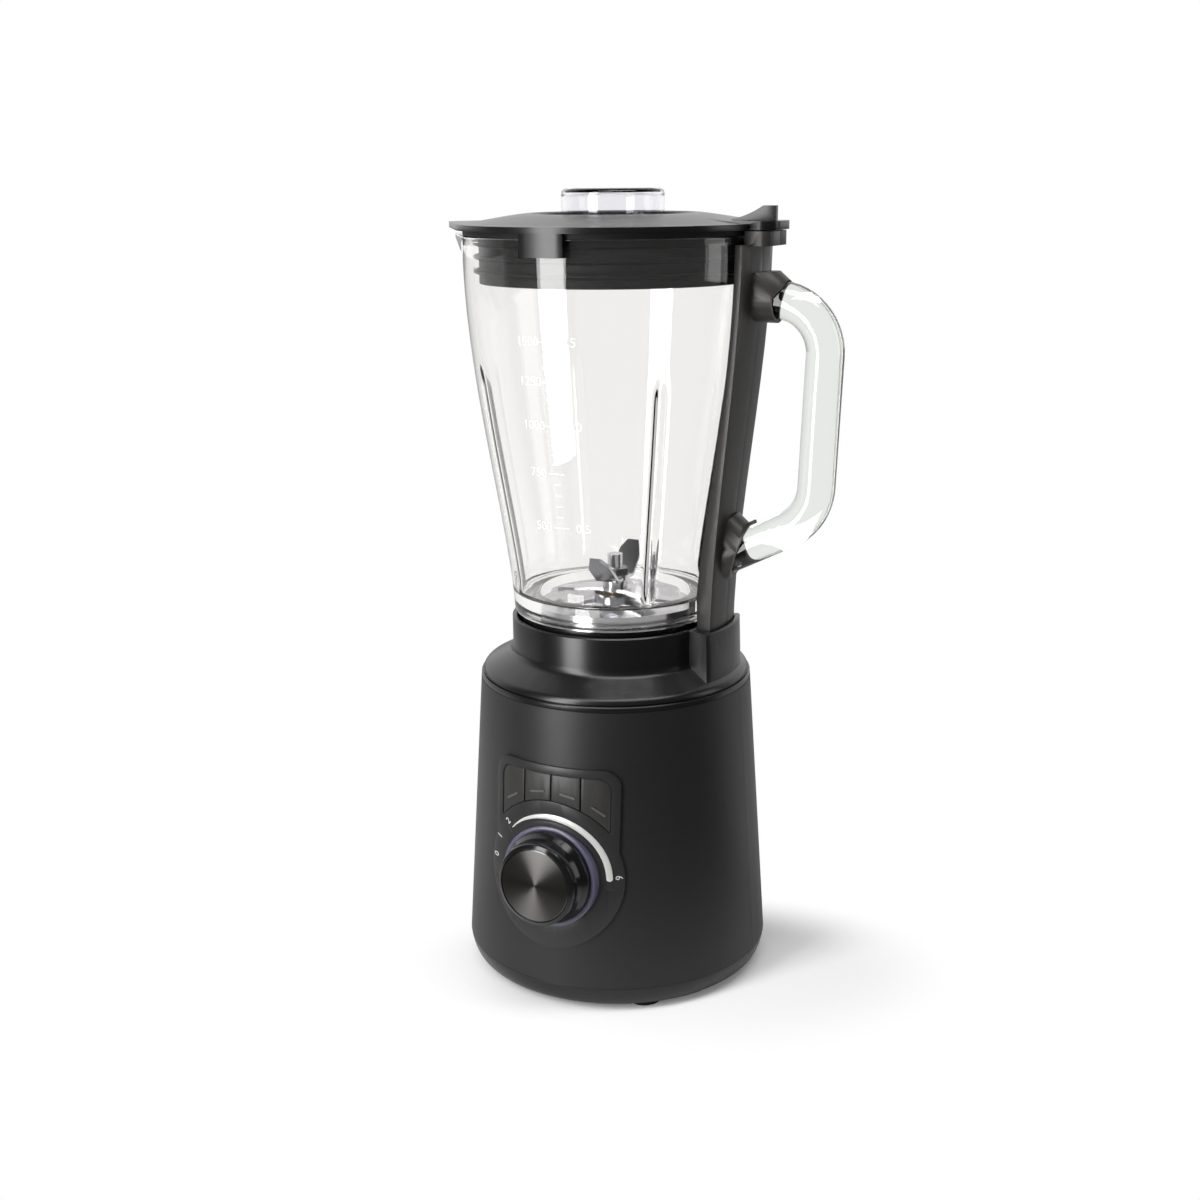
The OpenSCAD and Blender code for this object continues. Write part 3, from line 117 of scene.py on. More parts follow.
def ramp(tree, socket, start, end, low=0.0, high=1.0):
    """A smooth passage from `low` at `start` to `high` at `end`."""
    node = tree.nodes.new("ShaderNodeMapRange")
    node.interpolation_type = "SMOOTHSTEP"
    for name, value in {"From Min": start, "From Max": end, "To Min": low, "To Max": high}.items():
        node.inputs[name].default_value = value
    tree.links.new(socket, node.inputs["Value"])
    return node.outputs["Result"]


def seen_through(tree, rays):
    """1 for what the camera sees through glass, 0 once light has been scattered."""
    unscattered = math_node(tree, "LESS_THAN", rays.outputs["Diffuse Depth"], 0.5)
    return math_node(tree, "MULTIPLY", rays.outputs["Is Transmission Ray"], unscattered)


def facing_back(tree, socket, start, end, dark):
    """From `dark` in front of the object to 1 behind it, along the camera's view."""
    along = vector_node(tree, "DOT_PRODUCT", socket, to_back)
    return ramp(tree, along.outputs["Value"], start, end, dark)


paper = bpy.data.materials.new("paper")
tree = node_tree_of(paper)
new, link = tree.nodes.new, tree.links.new
out = new("ShaderNodeOutputMaterial")
place, rays = new("ShaderNodeTexCoord"), new("ShaderNodeLightPath")
seen = math_node(tree, "MAXIMUM", rays.outputs["Is Camera Ray"], seen_through(tree, rays))
# Mirrored in the object, the paper far in front of it is as dim as the room there
spot = place.outputs["Object"]
around = vector_node(tree, "DISTANCE", spot, motor_axis)
close = ramp(tree, around.outputs["Value"], 0.12, 0.32, 0.8, 0.0)
shade = new("ShaderNodeMix")
shade.inputs["A"].default_value = 0.9
link(rays.outputs["Is Glossy Ray"], shade.inputs["Factor"])
link(math_node(tree, "MAXIMUM", facing_back(tree, spot, -0.1, 0.12, 0.08), close),
     shade.inputs["B"])
diffuse = new("ShaderNodeBsdfDiffuse")
link(shade.outputs["Result"], diffuse.inputs["Color"])
lift = new("ShaderNodeEmission")
link(math_node(tree, "MULTIPLY", seen, 0.1), lift.inputs["Strength"])
both = new("ShaderNodeAddShader")
link(diffuse.outputs[0], both.inputs[0])
link(lift.outputs[0], both.inputs[1])
# Seen straight, the paper fades into the white room along an oval
aside = new("ShaderNodeMapping")
aside.vector_type = "TEXTURE"
aside.inputs["Location"].default_value = motor_axis + 0.03 * to_right - 0.035 * to_back
aside.inputs["Rotation"].default_value = (0, 0, camera_turn)
aside.inputs["Scale"].default_value = (1, 0.62, 1)
link(spot, aside.inputs["Vector"])
away = vector_node(tree, "LENGTH", aside.outputs["Vector"])
fade = ramp(tree, away.outputs["Value"], 0.085, 0.155)
white = new("ShaderNodeEmission")
white.inputs["Color"].default_value = (1, 1, 1, 1)
mix = new("ShaderNodeMixShader")
behind = facing_back(tree, spot, 0.0, 0.3, 0.45)
unhindered = math_node(tree, "MAXIMUM", rays.outputs["Is Camera Ray"],
                       math_node(tree, "MULTIPLY", seen, behind))
link(math_node(tree, "MULTIPLY", fade, unhindered), mix.inputs["Fac"])
link(both.outputs[0], mix.inputs[1])
link(white.outputs[0], mix.inputs[2])
link(mix.outputs[0], out.inputs["Surface"])
floor_half = 6
floor = mesh_piece("floor", [(-floor_half, -floor_half, 0), (floor_half, -floor_half, 0),
                             (floor_half, floor_half, 0), (-floor_half, floor_half, 0)],
                   [(0, 1, 2, 3)], smooth=False)
floor.data.materials.append(paper)

# The room: white behind the object, dim in front of it, even for the light
world = bpy.data.worlds.new("room")
bpy.context.scene.world = world
tree = node_tree_of(world)
new, link = tree.nodes.new, tree.links.new
out, way, rays = (new("ShaderNodeOutputWorld"), new("ShaderNodeTexCoord"),
                  new("ShaderNodeLightPath"))
mirrored, through, straight = new("ShaderNodeMix"), new("ShaderNodeMix"), new("ShaderNodeMix")
mirrored.inputs["A"].default_value = 0.22
straight.inputs["B"].default_value = 1.0
light = new("ShaderNodeBackground")
light.inputs["Color"].default_value = (1, 1, 1, 1)
link(rays.outputs["Is Glossy Ray"], mirrored.inputs["Factor"])
link(facing_back(tree, way.outputs["Generated"], 0.1, 0.6, 0.05), mirrored.inputs["B"])
link(seen_through(tree, rays), through.inputs["Factor"])
link(mirrored.outputs["Result"], through.inputs["A"])
link(facing_back(tree, way.outputs["Generated"], 0.0, 0.8, 0.4), through.inputs["B"])
link(rays.outputs["Is Camera Ray"], straight.inputs["Factor"])
link(through.outputs["Result"], straight.inputs["A"])
link(straight.outputs["Result"], light.inputs["Strength"])
link(light.outputs[0], out.inputs["Surface"])


def soft_box(name, azimuth, distance, height, wide, tall, power, aim_height=0.2):
    """A rectangular lamp round the motor axis; lengths in metres, power in watts."""
    lamp = bpy.data.lights.new(name, "AREA")
    lamp.shape, lamp.size, lamp.size_y, lamp.energy = "RECTANGLE", wide, tall, power
    box = placed(name, lamp)
    angle, aim = math.radians(azimuth), motor_axis + Vector((0, 0, aim_height))
    box.location = motor_axis + Vector((distance * math.cos(angle), distance * math.sin(angle),
                                        height))
    box.rotation_euler = (aim - box.location).to_track_quat("-Z", "Y").to_euler()


soft_box("tall_box", -109, 0.566, 0.44, 0.205, 0.86, 5, 0.4)
soft_box("top_box", -48, 0.4, 1.4, 1.2, 0.5, 8)
soft_box("side_box", 20, 1.9, 0.7, 0.7, 1.2, 4)

# ---- Motor housing ----
# The tapered shell of the base, injection moulded in black plastic with a
# fine spark-eroded grain. Four screws hold it to the bottom cover.


def add_socket(tree, name, kind, direction, default=None):
    """A named input or output of a node group."""
    socket = tree.interface.new_socket(name, in_out=direction, socket_type="NodeSocket" + kind)
    if default is not None:
        socket.default_value = default


def surface_tree(name, **numbers):
    """A shader group with the sockets that all surface effects share."""
    tree = bpy.data.node_groups.new(name, "ShaderNodeTree")
    add_socket(tree, "Place", "Vector", "INPUT")
    add_socket(tree, "Colour", "Color", "INPUT", (0.02, 0.02, 0.02, 1))
    add_socket(tree, "Roughness", "Float", "INPUT", 0.5)
    for socket, value in numbers.items():
        add_socket(tree, socket.replace("_", " "), "Float", "INPUT", value)
    add_socket(tree, "Colour", "Color", "OUTPUT")
    add_socket(tree, "Roughness", "Float", "OUTPUT")
    add_socket(tree, "Normal", "Vector", "OUTPUT")
    return tree, tree.nodes.new("NodeGroupInput"), tree.nodes.new("NodeGroupOutput")


def noise(tree, vector, scale, detail=3.0):
    """Noise from 0 to 1; the scale, per metre, is a socket or a number."""
    texture = tree.nodes.new("ShaderNodeTexNoise")
    texture.inputs["Detail"].default_value = detail
    tree.links.new(vector, texture.inputs["Vector"])
    if isinstance(scale, bpy.types.NodeSocket):
        tree.links.new(scale, texture.inputs["Scale"])
    else:
        texture.inputs["Scale"].default_value = scale
    return texture.outputs["Fac"]


def bump(tree, height, depth_mm):
    """A normal that height tilts, for a relief of this depth."""
    node = tree.nodes.new("ShaderNodeBump")
    tree.links.new(height, node.inputs["Height"])
    tree.links.new(math_node(tree, "MULTIPLY", depth_mm, MM), node.inputs["Distance"])
    return node.outputs["Normal"]


def wavering(tree, pattern, amount):
    """1, plus or minus a share of a noise pattern."""
    return math_node(tree, "MULTIPLY_ADD", math_node(tree, "SUBTRACT", pattern, 0.5), amount, 1)


def toned(tree, given, result, tone):
    """Multiplies colour and roughness by a tone that wavers round 1."""
    tinted = vector_node(tree, "SCALE", given.outputs["Colour"])
    tree.links.new(tone, tinted.inputs["Scale"])
    tree.links.new(tinted.outputs["Vector"], result.inputs["Colour"])
    tree.links.new(math_node(tree, "MULTIPLY", given.outputs["Roughness"], tone),
                   result.inputs["Roughness"])


def moulded_group():
    """Grain of a mould and the faint mottling of the plastic that it shaped."""
    tree, given, result = surface_tree("moulded_surface", Grain_size=0.4, Grain_depth=0.02,
                                       Mottle=0.15)
    place = given.outputs["Place"]
    grain = noise(tree, place, math_node(tree, "DIVIDE", 1000, given.outputs["Grain size"]))
    cloud = noise(tree, place, 28, 4)
    toned(tree, given, result, wavering(tree, cloud, given.outputs["Mottle"]))
    tree.links.new(bump(tree, grain, given.outputs["Grain depth"]), result.inputs["Normal"])
    return tree


moulded = moulded_group()
finishes = {}


def finish(name, colour, roughness, group=None, steps=None, **constants):
    """A Principled finish: a surface group drives colour, roughness and normal."""
    material = bpy.data.materials.new(name)
    tree = node_tree_of(material)
    out = tree.nodes.new("ShaderNodeOutputMaterial")
    shader = tree.nodes.new("ShaderNodeBsdfPrincipled")
    shader.name = "shader"
    surface = tree.nodes.new("ShaderNodeGroup")
    surface.node_tree = group or moulded
    where = tree.nodes.new("ShaderNodeTexCoord")
    where.name = "where"
    surface.inputs["Colour"].default_value = (*colour, 1)
    surface.inputs["Roughness"].default_value = roughness
    for socket, value in (steps or {}).items():
        surface.inputs[socket].default_value = value
    for socket, value in constants.items():
        shader.inputs[socket.replace("_", " ")].default_value = value
    tree.links.new(where.outputs["Object"], surface.inputs["Place"])
    tree.links.new(surface.outputs["Colour"], shader.inputs["Base Color"])
    tree.links.new(surface.outputs["Roughness"], shader.inputs["Roughness"])
    tree.links.new(surface.outputs["Normal"], shader.inputs["Normal"])
    tree.links.new(shader.outputs[0], out.inputs["Surface"])
    finishes[name] = material
    return material


def dress(*names):
    """Gives carried-over solids the finish of their slot."""
    for name in names:
        slots, material = nodes[name].data.materials, finishes[slot_of[name]]
        if slots:
            for i in range(len(slots)):
                slots[i] = material
        else:
            slots.append(material)


finish("housing_plastic", (0.011, 0.011, 0.0115), 0.42, Specular_IOR_Level=0.45,
       steps={"Grain size": 0.5, "Grain depth": 0.02, "Mottle": 0.1})
dress("motor_housing")

# ---- Bottom cover ----
# Closes the base from below and carries the feet. Moulded in semi-gloss black
# plastic; air for the motor enters through rings of slots in its floor.


def carry(piece, material, body, slot, *replaced):
    """Finishes a made piece: material, body and the solids it stands in for; the slot is not used.
    """
    piece.data.materials.clear()
    piece.data.materials.append(material)
    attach(piece, body)
    if replaced:
        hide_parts(*replaced)
    return piece


def drawn(source):
    """The plain mesh of an object as its modifiers leave it; the object is dropped."""
    graph = bpy.context.evaluated_depsgraph_get()
    mesh = bpy.data.meshes.new_from_object(source.evaluated_get(graph))
    bpy.data.objects.remove(source)
    return mesh


def softened(name, body, width=0.35):
    """A copy of a solid with the small radii that its mould leaves on the edges."""
    sharp = math.radians(32)
    dress(name)
    mesh = nodes[name].data.copy()
    shape = bmesh.new()
    shape.from_mesh(mesh)
    bmesh.ops.remove_doubles(shape, verts=shape.verts, dist=2e-6)
    bmesh.ops.dissolve_degenerate(shape, edges=shape.edges, dist=2e-6)
    bmesh.ops.dissolve_limit(shape, angle_limit=math.radians(0.6), verts=shape.verts,
                             edges=shape.edges)
    shape.to_mesh(mesh)
    shape.free()
    rough = placed(name + "_rough", mesh)
    bevel = rough.modifiers.new("radii", "BEVEL")
    bevel.width, bevel.segments = width * MM, 3
    bevel.limit_method, bevel.angle_limit = "ANGLE", sharp
    bevel.use_clamp_overlap, bevel.miter_outer = True, "MITER_ARC"
    mesh = drawn(rough)
    mesh.shade_smooth()
    mesh.set_sharp_from_angle(angle=sharp)
    piece = placed(name + "_moulding", mesh)
    return carry(piece, finishes[slot_of[name]], body, slot_of[name], name)


finish("satin_plastic", (0.006, 0.006, 0.0063), 0.27,
       steps={"Grain size": 0.9, "Grain depth": 0.006, "Mottle": 0.12})
softened("bottom_cover", "base")

# ---- Feet, screws and cord inlet ----
# Four rubber feet pressed into the bottom cover between its four plated
# screws. The cord inlet is a rubber grommet low in the back of the housing.
finish("rubber", (0.008, 0.008, 0.008), 0.6, Specular_IOR_Level=0.25,
       steps={"Grain size": 0.3, "Grain depth": 0.02, "Mottle": 0.3})


def metal_group():
    """Fine scratches and uneven polish on bare or plated metal."""
    tree, given, result = surface_tree("metal_surface", Scratch_size=0.3, Scratch_depth=0.004,
                                       Wear=0.25)
    place = given.outputs["Place"]
    stretch = vector_node(tree, "MULTIPLY", place, (1, 1, 0.08))
    lines = noise(tree, stretch.outputs["Vector"],
                  math_node(tree, "DIVIDE", 1000, given.outputs["Scratch size"]))
    cloud = noise(tree, place, 60, 4)
    toned(tree, given, result, wavering(tree, cloud, given.outputs["Wear"]))
    tree.links.new(bump(tree, lines, given.outputs["Scratch depth"]), result.inputs["Normal"])
    return tree


worked_metal = metal_group()
finish("plated_steel", (0.5, 0.5, 0.51), 0.33, worked_metal, Metallic=1.0)
dress("rubber_feet", "bottom_screws", "cord_inlet")

# ---- Top cover ----
# The collar that takes the jug, with the shoulder and the guard round the foot
# of the handle cover. Moulded in one in the same plastic as the bottom cover.
softened("top_cover", "base")

# ---- Control panel ----
# A curved bezel let into the front of the housing, moulded in satin black,
# with the dial's numbers printed on it in grey ink.
finish("panel_plastic", (0.016, 0.016, 0.017), 0.36,
       steps={"Grain size": 0.5, "Grain depth": 0.01})
softened("control_panel", "base", 0.45)
dial_z = 71.7
foot_r, foot_z = 81, 13.5
taper = 9.5 / 145


def housing_r(z):
    """Radius of the housing at a height, in millimetres."""
    return foot_r - (z - foot_z) * taper


def panel_r(z):
    """Radius of the panel's face, which stands a little proud of the housing."""
    return housing_r(z) + 1.4


def wrapped(piece, radius_at, lift=0.0):
    """Bends a flat piece, drawn in XZ with its front at -Y, round the motor axis."""
    for vertex in piece.data.vertices:
        x, y, z = vertex.co / MM
        r = radius_at(z) + lift
        angle = -math.pi / 2 + math.asin(x / r)
        bent = Vector(((r - y) * math.cos(angle), (r - y) * math.sin(angle), z))
        vertex.co = bent * MM + motor_axis
    piece.data.update()
    return piece


def joined(name, meshes):
    """One piece of several meshes."""
    shape = bmesh.new()
    for mesh in meshes:
        shape.from_mesh(mesh)
    bmesh.ops.remove_doubles(shape, verts=shape.verts, dist=1e-6)
    mesh = bpy.data.meshes.new(name)
    shape.to_mesh(mesh)
    shape.free()
    return placed(name, mesh)


def printed(name, entries, height):
    """Numbers in ink: (text, x, z, turn in degrees), with capitals of one height."""
    ink_depth, capital_share = 0.08, 0.7
    meshes = []
    for text, x, z, turn in entries:
        curve = bpy.data.curves.new(name, "FONT")
        curve.body, curve.size = text, height * MM / capital_share
        curve.extrude = ink_depth / 2 * MM
        curve.align_x, curve.align_y, curve.resolution_u = "CENTER", "CENTER", 3
        mesh = drawn(placed(name, curve))
        mesh.transform(Matrix.Translation((x * MM, 0, z * MM))
                       @ Matrix.Rotation(math.pi / 2, 4, "X")
                       @ Matrix.Rotation(math.radians(turn), 4, "Z"))
        meshes.append(mesh)
    return joined(name, meshes)


def about_dial(radius, degrees):
    """Place (x, z) of a point about the dial's centre, in millimetres."""
    angle = math.radians(degrees)
    return radius * math.cos(angle), dial_z + radius * math.sin(angle)


grey_ink = finish("grey_ink", (0.5, 0.5, 0.49), 0.5,
                  steps={"Grain size": 0.15, "Grain depth": 0.01, "Mottle": 0.5})
dial_numbers = printed("dial_numbers", [
    (text, *about_dial(35.2, degrees), degrees - 90)
    for text, degrees in (("0", 176), ("1", 158), ("2", 139), ("6", 4))], 3.4)
carry(wrapped(dial_numbers, panel_r, 0.02), grey_ink, "base", "panel_plastic")

# ---- Program buttons ----
# Four keys under the upper edge of the bezel, cut off below by an arc about
# the dial. Each has a narrow raised bar; their faces are otherwise bare.
finish("button_plastic", (0.022, 0.021, 0.020), 0.4,
       steps={"Grain size": 0.5, "Grain depth": 0.01})
bar_plastic = finish("bar_plastic", (0.07, 0.07, 0.07), 0.3)
keys = (("smoothie", 122), ("clean", 100), ("ice", 78), ("pulse", 56))


def capsule_tree():
    """A low raised bar with round ends, about its middle, facing -Y."""
    tree = bpy.data.node_groups.new("raised_bar", "GeometryNodeTree")
    for name, value in {"Length": 0.0084, "Width": 0.0011, "Height": 0.0004}.items():
        add_socket(tree, name, "Float", "INPUT", value)
    add_socket(tree, "Finish", "Material", "INPUT")
    add_socket(tree, "Bar", "Geometry", "OUTPUT")
    new, link = tree.nodes.new, tree.links.new
    given, result = new("NodeGroupInput"), new("NodeGroupOutput")
    outline, fillet, fill = (new("GeometryNodeCurvePrimitiveQuadrilateral"),
                             new("GeometryNodeFilletCurve"), new("GeometryNodeFillCurve"))
    link(given.outputs["Length"], outline.inputs["Width"])
    link(given.outputs["Width"], outline.inputs["Height"])
    fillet.mode = "POLY"
    fillet.inputs["Count"].default_value = 8
    link(math_node(tree, "MULTIPLY", given.outputs["Width"], 0.499), fillet.inputs["Radius"])
    link(outline.outputs["Curve"], fillet.inputs["Curve"])
    link(fillet.outputs["Curve"], fill.inputs["Curve"])
    block, stand = new("GeometryNodeExtrudeMesh"), new("GeometryNodeTransform")
    link(fill.outputs["Mesh"], block.inputs["Mesh"])
    link(given.outputs["Height"], block.inputs["Offset Scale"])
    block.inputs["Individual"].default_value = False
    back, whole, weld = (new("GeometryNodeFlipFaces"), new("GeometryNodeJoinGeometry"),
                         new("GeometryNodeMergeByDistance"))
    weld.inputs["Distance"].default_value = 1e-6
    link(fill.outputs["Mesh"], back.inputs["Mesh"])
    link(back.outputs["Mesh"], whole.inputs["Geometry"])
    link(block.outputs["Mesh"], whole.inputs["Geometry"])
    link(whole.outputs["Geometry"], weld.inputs["Geometry"])
    stand.inputs["Rotation"].default_value = (math.pi / 2, 0, 0)
    link(weld.outputs["Geometry"], stand.inputs["Geometry"])
    real, paint = new("GeometryNodeRealizeInstances"), new("GeometryNodeSetMaterial")
    link(stand.outputs["Geometry"], real.inputs["Geometry"])
    link(real.outputs["Geometry"], paint.inputs["Geometry"])
    link(given.outputs["Finish"], paint.inputs["Material"])
    link(paint.outputs["Geometry"], result.inputs["Bar"])
    return tree


def run_tree(source, tree, name, **values):
    """Runs a Geometry Nodes tree on an object and keeps only the plain mesh."""
    modifier = source.modifiers.new("shape", "NODES")
    modifier.node_group = tree
    for item in tree.interface.items_tree:
        if item.item_type == "SOCKET" and item.in_out == "INPUT" and item.name in values:
            modifier[item.identifier] = values[item.name]
    source.update_tag()
    return placed(name, drawn(source))


def empty_source(name):
    """An object for a tree that needs nothing to start from."""
    return placed(name, bpy.data.meshes.new(name))


raised_bar = capsule_tree()
bar_r = 44.4
for key, degrees in keys:
    softened(key + "_button", key + "_key", 0.3)
    bar = run_tree(empty_source(key), raised_bar, key + "_bar", Finish=bar_plastic)
    x, z = about_dial(bar_r, degrees)
    bar.data.transform(Matrix.Translation((x * MM, 0, z * MM))
                       @ Matrix.Rotation(math.radians(90 - degrees), 4, "Y"))
    carry(wrapped(bar, panel_r, -0.15), bar_plastic, key + "_key", "button_plastic")

# ---- Speed arc ----
# A bright strip round the dial that narrows towards the lowest speed. Pressed
# aluminium, polished and glued into a groove of the bezel.
finish("silver_trim", (0.72, 0.72, 0.7), 0.34, worked_metal,
       steps={"Scratch depth": 0.002, "Wear": 0.12}, Metallic=0.45)
arc_r, arc_steps, arc_sides = 31, 120, 16
strip_first, strip_last, strip_half, strip_end_half = 0, 140, 1.6, 0.25
bed_first, bed_last, bed_half = -8, 144, 2.1


def swept_arc(first, last, half_width_at, height, rise=0.0):
    """Half round strip along an arc about the dial, drawn in XZ with its front at -Y."""
    verts, faces = [], []
    for i in range(arc_steps + 1):
        degrees = first + (last - first) * i / arc_steps
        half_width = half_width_at(degrees)
        for k in range(arc_sides):
            around = 2 * math.pi * k / arc_sides
            x, z = about_dial(arc_r + half_width * math.cos(around), degrees)
            depth = height * min(1, half_width) * math.sin(around)
            verts.append(Vector((x, -depth, z + rise)) * MM - motor_axis)
    for i in range(arc_steps):
        for k in range(arc_sides):
            a, b = i * arc_sides + k, i * arc_sides + (k + 1) % arc_sides
            faces.append((a, b, b + arc_sides, a + arc_sides))
    return verts, faces


def round_end(degrees, radius):
    """Half width of a strip this far along the arc from its round end."""
    along = max(0, math.radians(degrees)) * arc_r
    return math.sqrt(max(0, radius ** 2 - max(0, radius - along) ** 2))


def strip_half_width(degrees):
    """Round at its wide end, then even, then narrowing to a point."""
    if degrees >= strip_last - 0.01:
        return 0
    narrowing = max(0, (degrees - 80) / 60) ** 1.1
    return min(round_end(degrees - strip_first, strip_half),
               strip_half - (strip_half - strip_end_half) * narrowing)


def bed_half_width(degrees):
    """Even, with two round ends."""
    return min(round_end(degrees - bed_first, bed_half), round_end(bed_last - degrees, bed_half))


def clean_mesh(piece):
    """Merges seams and poles and turns the faces outward."""
    shape = bmesh.new()
    shape.from_mesh(piece.data)
    bmesh.ops.remove_doubles(shape, verts=shape.verts, dist=1e-6)
    bmesh.ops.recalc_face_normals(shape, faces=shape.faces)
    shape.to_mesh(piece.data)
    shape.free()
    return piece


dress("speed_arc")
strip = mesh_piece("speed_strip",
                   *swept_arc(strip_first, strip_last, strip_half_width, 0.34, rise=0.25))
carry(clean_mesh(wrapped(strip, panel_r, 0.05)), finishes["silver_trim"], "base", "silver_trim",
      "speed_arc")
bed = mesh_piece("strip_bed", *swept_arc(bed_first, bed_last, bed_half_width, 0.12))
carry(clean_mesh(wrapped(bed, panel_r)), finishes["panel_plastic"], "base", "panel_plastic")

# ---- Light ring ----
# A ring of milky plastic behind the knob that carries the light of a small
# lamp on the circuit board. It is unlit, a dull lavender grey.
finish("light_guide", (0.085, 0.082, 0.125), 0.22, steps={"Grain depth": 0.002})
softened("light_ring", "base", 0.85)

# ---- Speed knob ----
# A hollow turned knob of gloss black plastic, pushed on the switch's flatted
# spindle. A spun aluminium disc with a bright bevel is glued in its front.
finish("gloss_plastic", (0.006, 0.006, 0.006), 0.15,
       steps={"Grain size": 2.0, "Grain depth": 0.002, "Mottle": 0.1})
lean = math.atan(taper)
dial_normal = Vector((0, -math.cos(lean), math.sin(lean)))
dial_centre = Vector((0, -housing_r(dial_z), dial_z)) * MM
dial_place = (Matrix.Translation(dial_centre)
              @ Matrix.Rotation(math.pi / 2 - lean, 4, "X"))


def rounded(corners, steps=5):
    """Replaces each (r, z, radius) corner of a closed outline by a small arc."""
    line = []
    for i, (r, z, radius) in enumerate(corners):
        at = Vector((r, z))
        if not radius:
            line.append(tuple(at))
            continue
        back = Vector(corners[i - 1][:2]) - at
        on = Vector(corners[(i + 1) % len(corners)][:2]) - at
        half = back.angle(on) / 2
        cut = min(radius / math.tan(half), 0.48 * back.length, 0.48 * on.length)
        start, end = at + back.normalized() * cut, at + on.normalized() * cut
        for k in range(steps + 1):
            t = k / steps
            line.append(tuple((1 - t) ** 2 * start + 2 * t * (1 - t) * at + t * t * end))
    return line


def turned(name, line, count, reshape=None, place=Matrix()):
    """Turns a closed outline of (r, z) in millimetres about the motor axis or another."""
    verts, faces = [], []
    for k in range(count):
        angle = 2 * math.pi * k / count
        for r, z in line:
            if reshape:
                r, z = reshape(angle, r, z)
            verts.append(place @ (Vector((r * math.cos(angle), r * math.sin(angle), z)) * MM))
    size = len(line)
    for k in range(count):
        for i in range(size):
            a, b = k * size + i, k * size + (i + 1) % size
            c, d = (k + 1) % count * size + (i + 1) % size, (k + 1) % count * size + i
            faces.append((a, d, c, b))
    return clean_mesh(mesh_piece(name, verts, faces))


knob = turned("knob_body", rounded([
    (6, 2.8, 0.3), (6, 12, 0.5), (18.4, 12.6, 1.5), (21, 3.6, 0.5), (21.6, 2.6, 0.3),
    (24.2, 2.6, 0.5), (23.8, 5, 2), (21.9, 8.5, 5), (20.9, 11.3, 0.3), (21.4, 11.8, 0.25),
    (21.35, 14.9, 0.35), (20.9, 15.9, 0.4), (19.2, 17, 0.12), (18.9, 17, 0.1), (18.8, 16, 0),
    (0, 16, 0), (0, 14.6, 0), (3.1, 14.6, 0.2), (3.1, 2.8, 0.2)]), 160, place=dial_place)
dress("speed_knob")
carry(knob, finishes["gloss_plastic"], "knob", "gloss_plastic", "speed_knob")


def spun_group():
    """Fine rings left by the turning tool, about the axis of the dial."""
    tree, given, result = surface_tree("spun_surface", Ring_width=0.12, Ring_depth=0.003)
    away = vector_node(tree, "SUBTRACT", given.outputs["Place"], motor_axis + dial_centre)
    flat = vector_node(tree, "CROSS_PRODUCT", away.outputs["Vector"], dial_normal)
    radius = vector_node(tree, "LENGTH", flat.outputs["Vector"])
    line = tree.nodes.new("ShaderNodeCombineXYZ")
    rings = math_node(tree, "DIVIDE", radius.outputs["Value"],
                      math_node(tree, "MULTIPLY", given.outputs["Ring width"], MM))
    tree.links.new(rings, line.inputs["X"])
    wave = noise(tree, line.outputs["Vector"], 1.0, 2)
    toned(tree, given, result, wavering(tree, wave, 0.35))
    tree.links.new(bump(tree, wave, given.outputs["Ring depth"]), result.inputs["Normal"])
    return tree


disc_metal = finish("dark_metal", (0.105, 0.101, 0.097), 0.24, spun_group(), Metallic=1.0,
                    Anisotropic=0.95)
tree = disc_metal.node_tree
radial = vector_node(tree, "SUBTRACT", tree.nodes["where"].outputs["Object"],
                     motor_axis + dial_centre)
tree.links.new(radial.outputs["Vector"], tree.nodes["shader"].inputs["Tangent"])
disc = turned("disc_face", rounded([(0, 16.1, 0), (18.5, 16.1, 0.1), (18.7, 16.2, 0.05),
                                    (18.7, 16.7, 0.05), (18.2, 16.95, 0.08), (0, 16.95, 0)]),
              160, place=dial_place)
dress("knob_disc")
carry(disc, disc_metal, "knob", "dark_metal", "knob_disc")
dress("knob_spindle")

# ---- Circuit board and switches ----
# A green laminate board behind the panel carries the four key switches. The
# speed switch hangs in the housing's front with the knob's spindle in it.
finish("circuit_board", (0.02, 0.12, 0.04), 0.4, steps={"Grain size": 1.2, "Mottle": 0.3})
finish("switch_plastic", (0.5, 0.5, 0.5), 0.5)
finish("dark_plastic", (0.03, 0.03, 0.032), 0.5)
dress("control_board", "button_switches", "speed_switch")

# ---- Motor ----
# A universal motor: a stack of punched sheet steel with enamelled copper
# coils, die-cast brackets with ball bearings, carbon brushes and a fan.
finish("laminations", (0.3, 0.3, 0.31), 0.5, worked_metal, Metallic=1.0,
       steps={"Scratch size": 0.5, "Scratch depth": 0.05})
finish("copper_wire", (0.5, 0.2, 0.06), 0.35, worked_metal, Metallic=1.0,
       steps={"Scratch size": 0.6, "Scratch depth": 0.2})
finish("copper", (0.55, 0.27, 0.12), 0.3, worked_metal, Metallic=1.0)
finish("die_cast", (0.5, 0.5, 0.52), 0.5, worked_metal, Metallic=1.0,
       steps={"Scratch size": 0.8, "Scratch depth": 0.03})
finish("steel", (0.62, 0.62, 0.64), 0.2, worked_metal, Metallic=1.0)
finish("phenolic", (0.12, 0.05, 0.02), 0.5, steps={"Mottle": 0.6})
finish("carbon", (0.03, 0.03, 0.03), 0.6)
dress("stator_core", "field_coils", "upper_bracket", "lower_bracket", "upper_bearing",
      "lower_bearing", "motor_mounts", "motor_screws", "brush_holders", "carbon_brushes",
      "motor_shaft", "armature", "armature_windings", "commutator", "cooling_fan")

# ---- Coupling, seal and safety switch ----
# A rubber drive socket on the motor shaft takes the blade coupling. A lip seal
# keeps spills out, and the seated jug presses the red pin of the safety switch.
finish("red_plastic", (0.5, 0.05, 0.03), 0.4)
dress("drive_coupling", "drip_seal", "interlock_switch", "interlock_pin")

